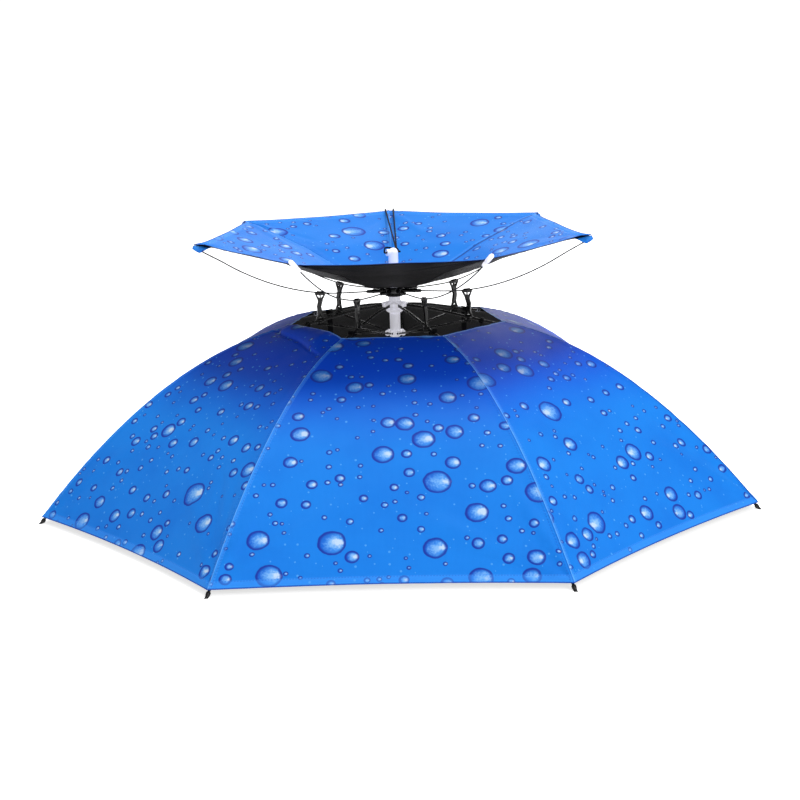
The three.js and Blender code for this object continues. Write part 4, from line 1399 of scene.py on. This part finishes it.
def make_stretcher(rib):
    seat = at_radius(lower_rib_points(rib), STRUT_RADIUS)
    knuckle = seat + Vector((0, 0, -3 - FIT))
    angle = rib_angle(rib) + CROWN_TURN
    ear = polar(POST_RADIUS + EAR_OFFSET, angle, RUNNER_MIDDLE)
    along = (knuckle - ear).normalized()
    start = ear + along * 1.4
    rod = sweep([start, start.lerp(knuckle, 0.5), knuckle], 1.0, 12)
    across = polar(1, angle + math.pi / 2, 0)
    pin = sweep([knuckle + across * place for place in (-3.1, -2.8, 2.8, 3.1)], [2.2, 2.6, 2.6, 2.2], 20)
    eye = sweep([ear - across * 1.5, ear + across * 1.5], 1.0, 12)
    piece = new_object(f"stretcher_{rib + 1}_rod", mesh_from("stretcher", *joined(rod, pin, eye)), METAL,
                       [f"stretcher_{rib + 1}"])
    outward(piece)


# Headband and hangers

def with_print_uv(mesh, uv_of):
    layer = mesh.uv_layers.new(name="print")
    for loop in mesh.loops:
        layer.data[loop.index].uv = uv_of(mesh.vertices[loop.vertex_index].co)


def make_headband():
    sides, rows = 160, 12
    vertices, faces = [], []
    for side in (0, 1):
        for row in range(rows + 1):
            share = row / rows
            for i in range(sides):
                turn = 2 * math.pi * i / sides
                roll = 0.35 * math.cos(share * math.pi * 2)
                ripple = 0.18 * math.sin(turn * 80)
                radius = BAND_RADIUS + 0.2 + roll * 0.3 + ripple * 0.4 + (BAND_THICKNESS - 0.4) * (1 - side)
                vertices.append(polar(radius, turn, BAND_FOOT + 0.2 + (BAND_HEIGHT - 0.4) * share))
    per = (rows + 1) * sides
    for side in (0, 1):
        for row in range(rows):
            for i in range(sides):
                j = (i + 1) % sides
                quad = [side * per + row * sides + i, side * per + row * sides + j,
                        side * per + (row + 1) * sides + j, side * per + (row + 1) * sides + i]
                faces.append(tuple(quad if side == 0 else reversed(quad)))
    for row in (0, rows):
        for i in range(sides):
            j = (i + 1) % sides
            quad = [row * sides + i, per + row * sides + i, per + row * sides + j, row * sides + j]
            faces.append(tuple(quad if row == 0 else reversed(quad)))
    mesh = mesh_from("headband", vertices, faces)
    with_print_uv(mesh, lambda co: (math.atan2(co.y - AXIS.y, co.x) * BAND_RADIUS * MM, co.z))
    piece = new_object("headband_elastic", mesh, ELASTIC, ["headband"])


def strap(points, width, thickness, across):
    """A flat strap along points, with rounded edges."""
    section = [(-0.5, -0.5), (-0.46, -0.5), (0.46, -0.5), (0.5, -0.3), (0.5, 0.3), (0.46, 0.5), (-0.46, 0.5),
               (-0.5, 0.3)]
    vertices, faces = [], []
    count = len(section)
    for i, point in enumerate(points):
        before = points[max(0, i - 1)]
        after = points[min(len(points) - 1, i + 1)]
        along = (after - before).normalized()
        normal = along.cross(across).normalized()
        vertices += [point + across * width * x + normal * thickness * y for x, y in section]
    for i in range(len(points) - 1):
        for j in range(count):
            a = i * count + j
            b = i * count + (j + 1) % count
            faces.append((a, b, b + count, a + count))
    faces.append(tuple(reversed(range(count))))
    faces.append(tuple((len(points) - 1) * count + j for j in range(count)))
    return vertices, faces


def make_hanger(rib):
    radius = BAND_RADIUS + BAND_THICKNESS + FIT + HANGER_THICKNESS / 2
    top = at_radius(lower_rib_points(rib), radius)
    angle = math.atan2(top.y, top.x)
    low = BAND_FOOT + BAND_HEIGHT - HANGER_LAP
    across = polar(1, angle + math.pi / 2, 0)
    out = polar(1, angle, 0)
    base = polar(radius, angle, 0)
    points = []
    for i in range(25):
        share = i / 24
        height = lerp(low, top.z - 3.4, share)
        points.append(base + out * (0.35 * math.sin(share * math.pi * 2)) + Vector((0, 0, height)))
    body = strap(points, HANGER_WIDTH * 0.96, 1.1, across)
    loop = []
    reach = RIB_RADIUS + 0.9
    for i in range(15):
        turn = math.radians(-80 + 340 * i / 14)
        loop.append(top + out * (reach * math.sin(turn)) - Vector((0, 0, 1)) * reach * math.cos(turn))
    ring = strap(loop, HANGER_WIDTH * 0.96, 0.6, across)
    mesh = mesh_from("hanger", *joined(body, ring))
    with_print_uv(mesh, lambda co: ((co - AXIS).dot(across), co.z))
    piece = new_object(f"hanger_{rib + 1}_strap", mesh, ELASTIC, [f"hanger_{rib + 1}"])
    outward(piece)


# Elastic cord

def make_cord():
    eye = EYE_HEIGHT
    knot = Vector((3.5, 7.5, eye + 1))
    loop_points = [knot]
    loop_points += [polar(distance, EYE_ANGLE, eye) for distance in (-8, -5.5, 7, 9.7)]
    loop_points += [Vector((-8.5, 0.5, eye + 4.5)), Vector((-3.5, 6.5, eye + 4)), knot]
    small = sweep(curve(loop_points, 90), CORD_RADIUS, 14)
    back_tip = upper_rib_points(0)[-1]
    away = rib_angle(0) + upper_seam(0)[0]
    out = polar(1, away, 0)
    across = polar(1, away - math.pi / 2, 0)

    def near_tip(outwards, sideways, lift):
        place = back_tip + out * outwards + across * sideways
        return Vector((place.x, place.y, back_tip.z + lift))

    half = [(-8, CORD_SPREAD, 2.9), (-2, CORD_SPREAD + 0.1, 2.6), (3, 4, 0.2)]
    hook = [near_tip(a, -b, lift) for a, b, lift in half] + [near_tip(4.6, 0, -1.5)]
    hook += [near_tip(a, b, lift) for a, b, lift in reversed(half)]
    ends = [knot.lerp(hook[0], share) for share in (0.02, 0.25, 0.5, 0.75)]
    back = [hook[-1].lerp(knot, share) for share in (0.25, 0.5, 0.75, 0.98)]
    long_loop = sweep(curve(ends + hook + back, 200), CORD_RADIUS, 14)
    wraps = []
    toward = (hook[0] + hook[-1]) / 2 - knot
    toward.normalize()
    side = toward.cross(Vector((0, 0, 1))).normalized()
    up = side.cross(toward)
    for i in range(61):
        turn = 2 * math.pi * 2.6 * i / 60
        round_it = math.cos(turn) * side + math.sin(turn) * up
        wraps.append(knot + toward * (-2.2 + 4.6 * i / 60) + 1.75 * round_it)
    bundle = sweep(wraps, CORD_RADIUS * 0.95, 12)
    mesh = mesh_from("cord", *joined(small, long_loop, bundle))
    with_print_uv(mesh, lambda co: (co.x + co.z, co.y))
    new_object("elastic_cord_loops", mesh, ELASTIC, ["elastic_cord"])


# Threads that tie the canopy to the ribs at the hole

def make_ties():
    for rib in range(RIBS):
        points = lower_rib_points(rib)
        shapes = []
        for radius in (LOWER_HOLE - 4.5, LOWER_HOLE - 1.5):
            centre = at_radius(points, radius)
            ahead = at_radius(points, radius + 1)
            along = (ahead - centre).normalized()
            side = along.cross(Vector((0, 0, 1))).normalized()
            up = side.cross(along)
            ring = []
            for i in range(28):
                turn = 2 * math.pi * i / 28
                ring.append(centre + (RIB_RADIUS + 0.35) * (math.cos(turn) * side + math.sin(turn) * up)
                            + along * 0.6 * math.sin(turn))
            shapes.append(sweep(ring, 0.4, 8, closed=True))
        mesh = mesh_from("tie", *joined(*shapes))
        with_print_uv(mesh, lambda co: (co.x, co.z))
        piece = new_object(f"thread_tie_{rib + 1}", mesh, THREAD)
        outward(piece)


make_ribs()
for rib in range(RIBS):
    make_upper_tip(rib)
    make_lower_tip(rib)
    make_strut(rib)
    make_stretcher(rib)
    make_hanger(rib)
make_post()
make_crown()
make_runner()
make_hub()
make_finial()
make_headband()
make_cord()
make_ties()
make_lower_canopy()
make_upper_canopy()


# Studio

def make_studio():
    mesh = bpy.data.meshes.new("studio_floor")
    half = 14
    corners = [(-half, -half, 0), (half, -half, 0), (half, half, 0), (-half, half, 0)]
    mesh.from_pydata(corners, [], [(0, 1, 2, 3)])
    floor = bpy.data.objects.new("studio_floor", mesh)
    bpy.context.collection.objects.link(floor)
    floor.data.materials.append(floor_material())
    world = bpy.data.worlds.new("studio")
    bpy.context.scene.world = world
    world.use_nodes = True
    # The walls of the studio look white, and light the hat less than its lamps do.
    tree = world.node_tree
    soft = tree.nodes["Background"]
    soft.inputs["Color"].default_value = (1, 1, 1, 1)
    soft.inputs["Strength"].default_value = 0.45
    seen = tree.nodes.new("ShaderNodeBackground")
    seen.inputs["Strength"].default_value = 1.1
    path = tree.nodes.new("ShaderNodeLightPath")
    mix = tree.nodes.new("ShaderNodeMixShader")
    tree.links.new(path.outputs["Is Camera Ray"], mix.inputs["Fac"])
    tree.links.new(soft.outputs["Background"], mix.inputs[1])
    tree.links.new(seen.outputs["Background"], mix.inputs[2])
    seen.inputs["Color"].default_value = (1, 1, 1, 1)
    tree.links.new(mix.outputs["Shader"], tree.nodes["World Output"].inputs["Surface"])
    lamps = [
        {"name": "overhead", "place": (0.3, 0.15, 2.6), "aim": (0, 0, 0.1), "size": 0.9, "power": 58},
        {"name": "front", "place": (1.25, -2.6, 1.6), "aim": (0, 0, 0.15), "size": 1.6, "power": 42},
        {"name": "back", "place": (0.4, 2.4, 1.3), "aim": (0, 0, 0.2), "size": 1.2, "power": 22},
    ]
    for lamp in lamps:
        data = bpy.data.lights.new(lamp["name"], "AREA")
        data.size = lamp["size"]
        data.energy = lamp["power"]
        light = bpy.data.objects.new(lamp["name"], data)
        bpy.context.collection.objects.link(light)
        place = Vector(lamp["place"])
        turn = (Vector(lamp["aim"]) - place).to_track_quat("-Z", "Y")
        light.matrix_world = Matrix.Translation(place) @ turn.to_matrix().to_4x4()


make_studio()
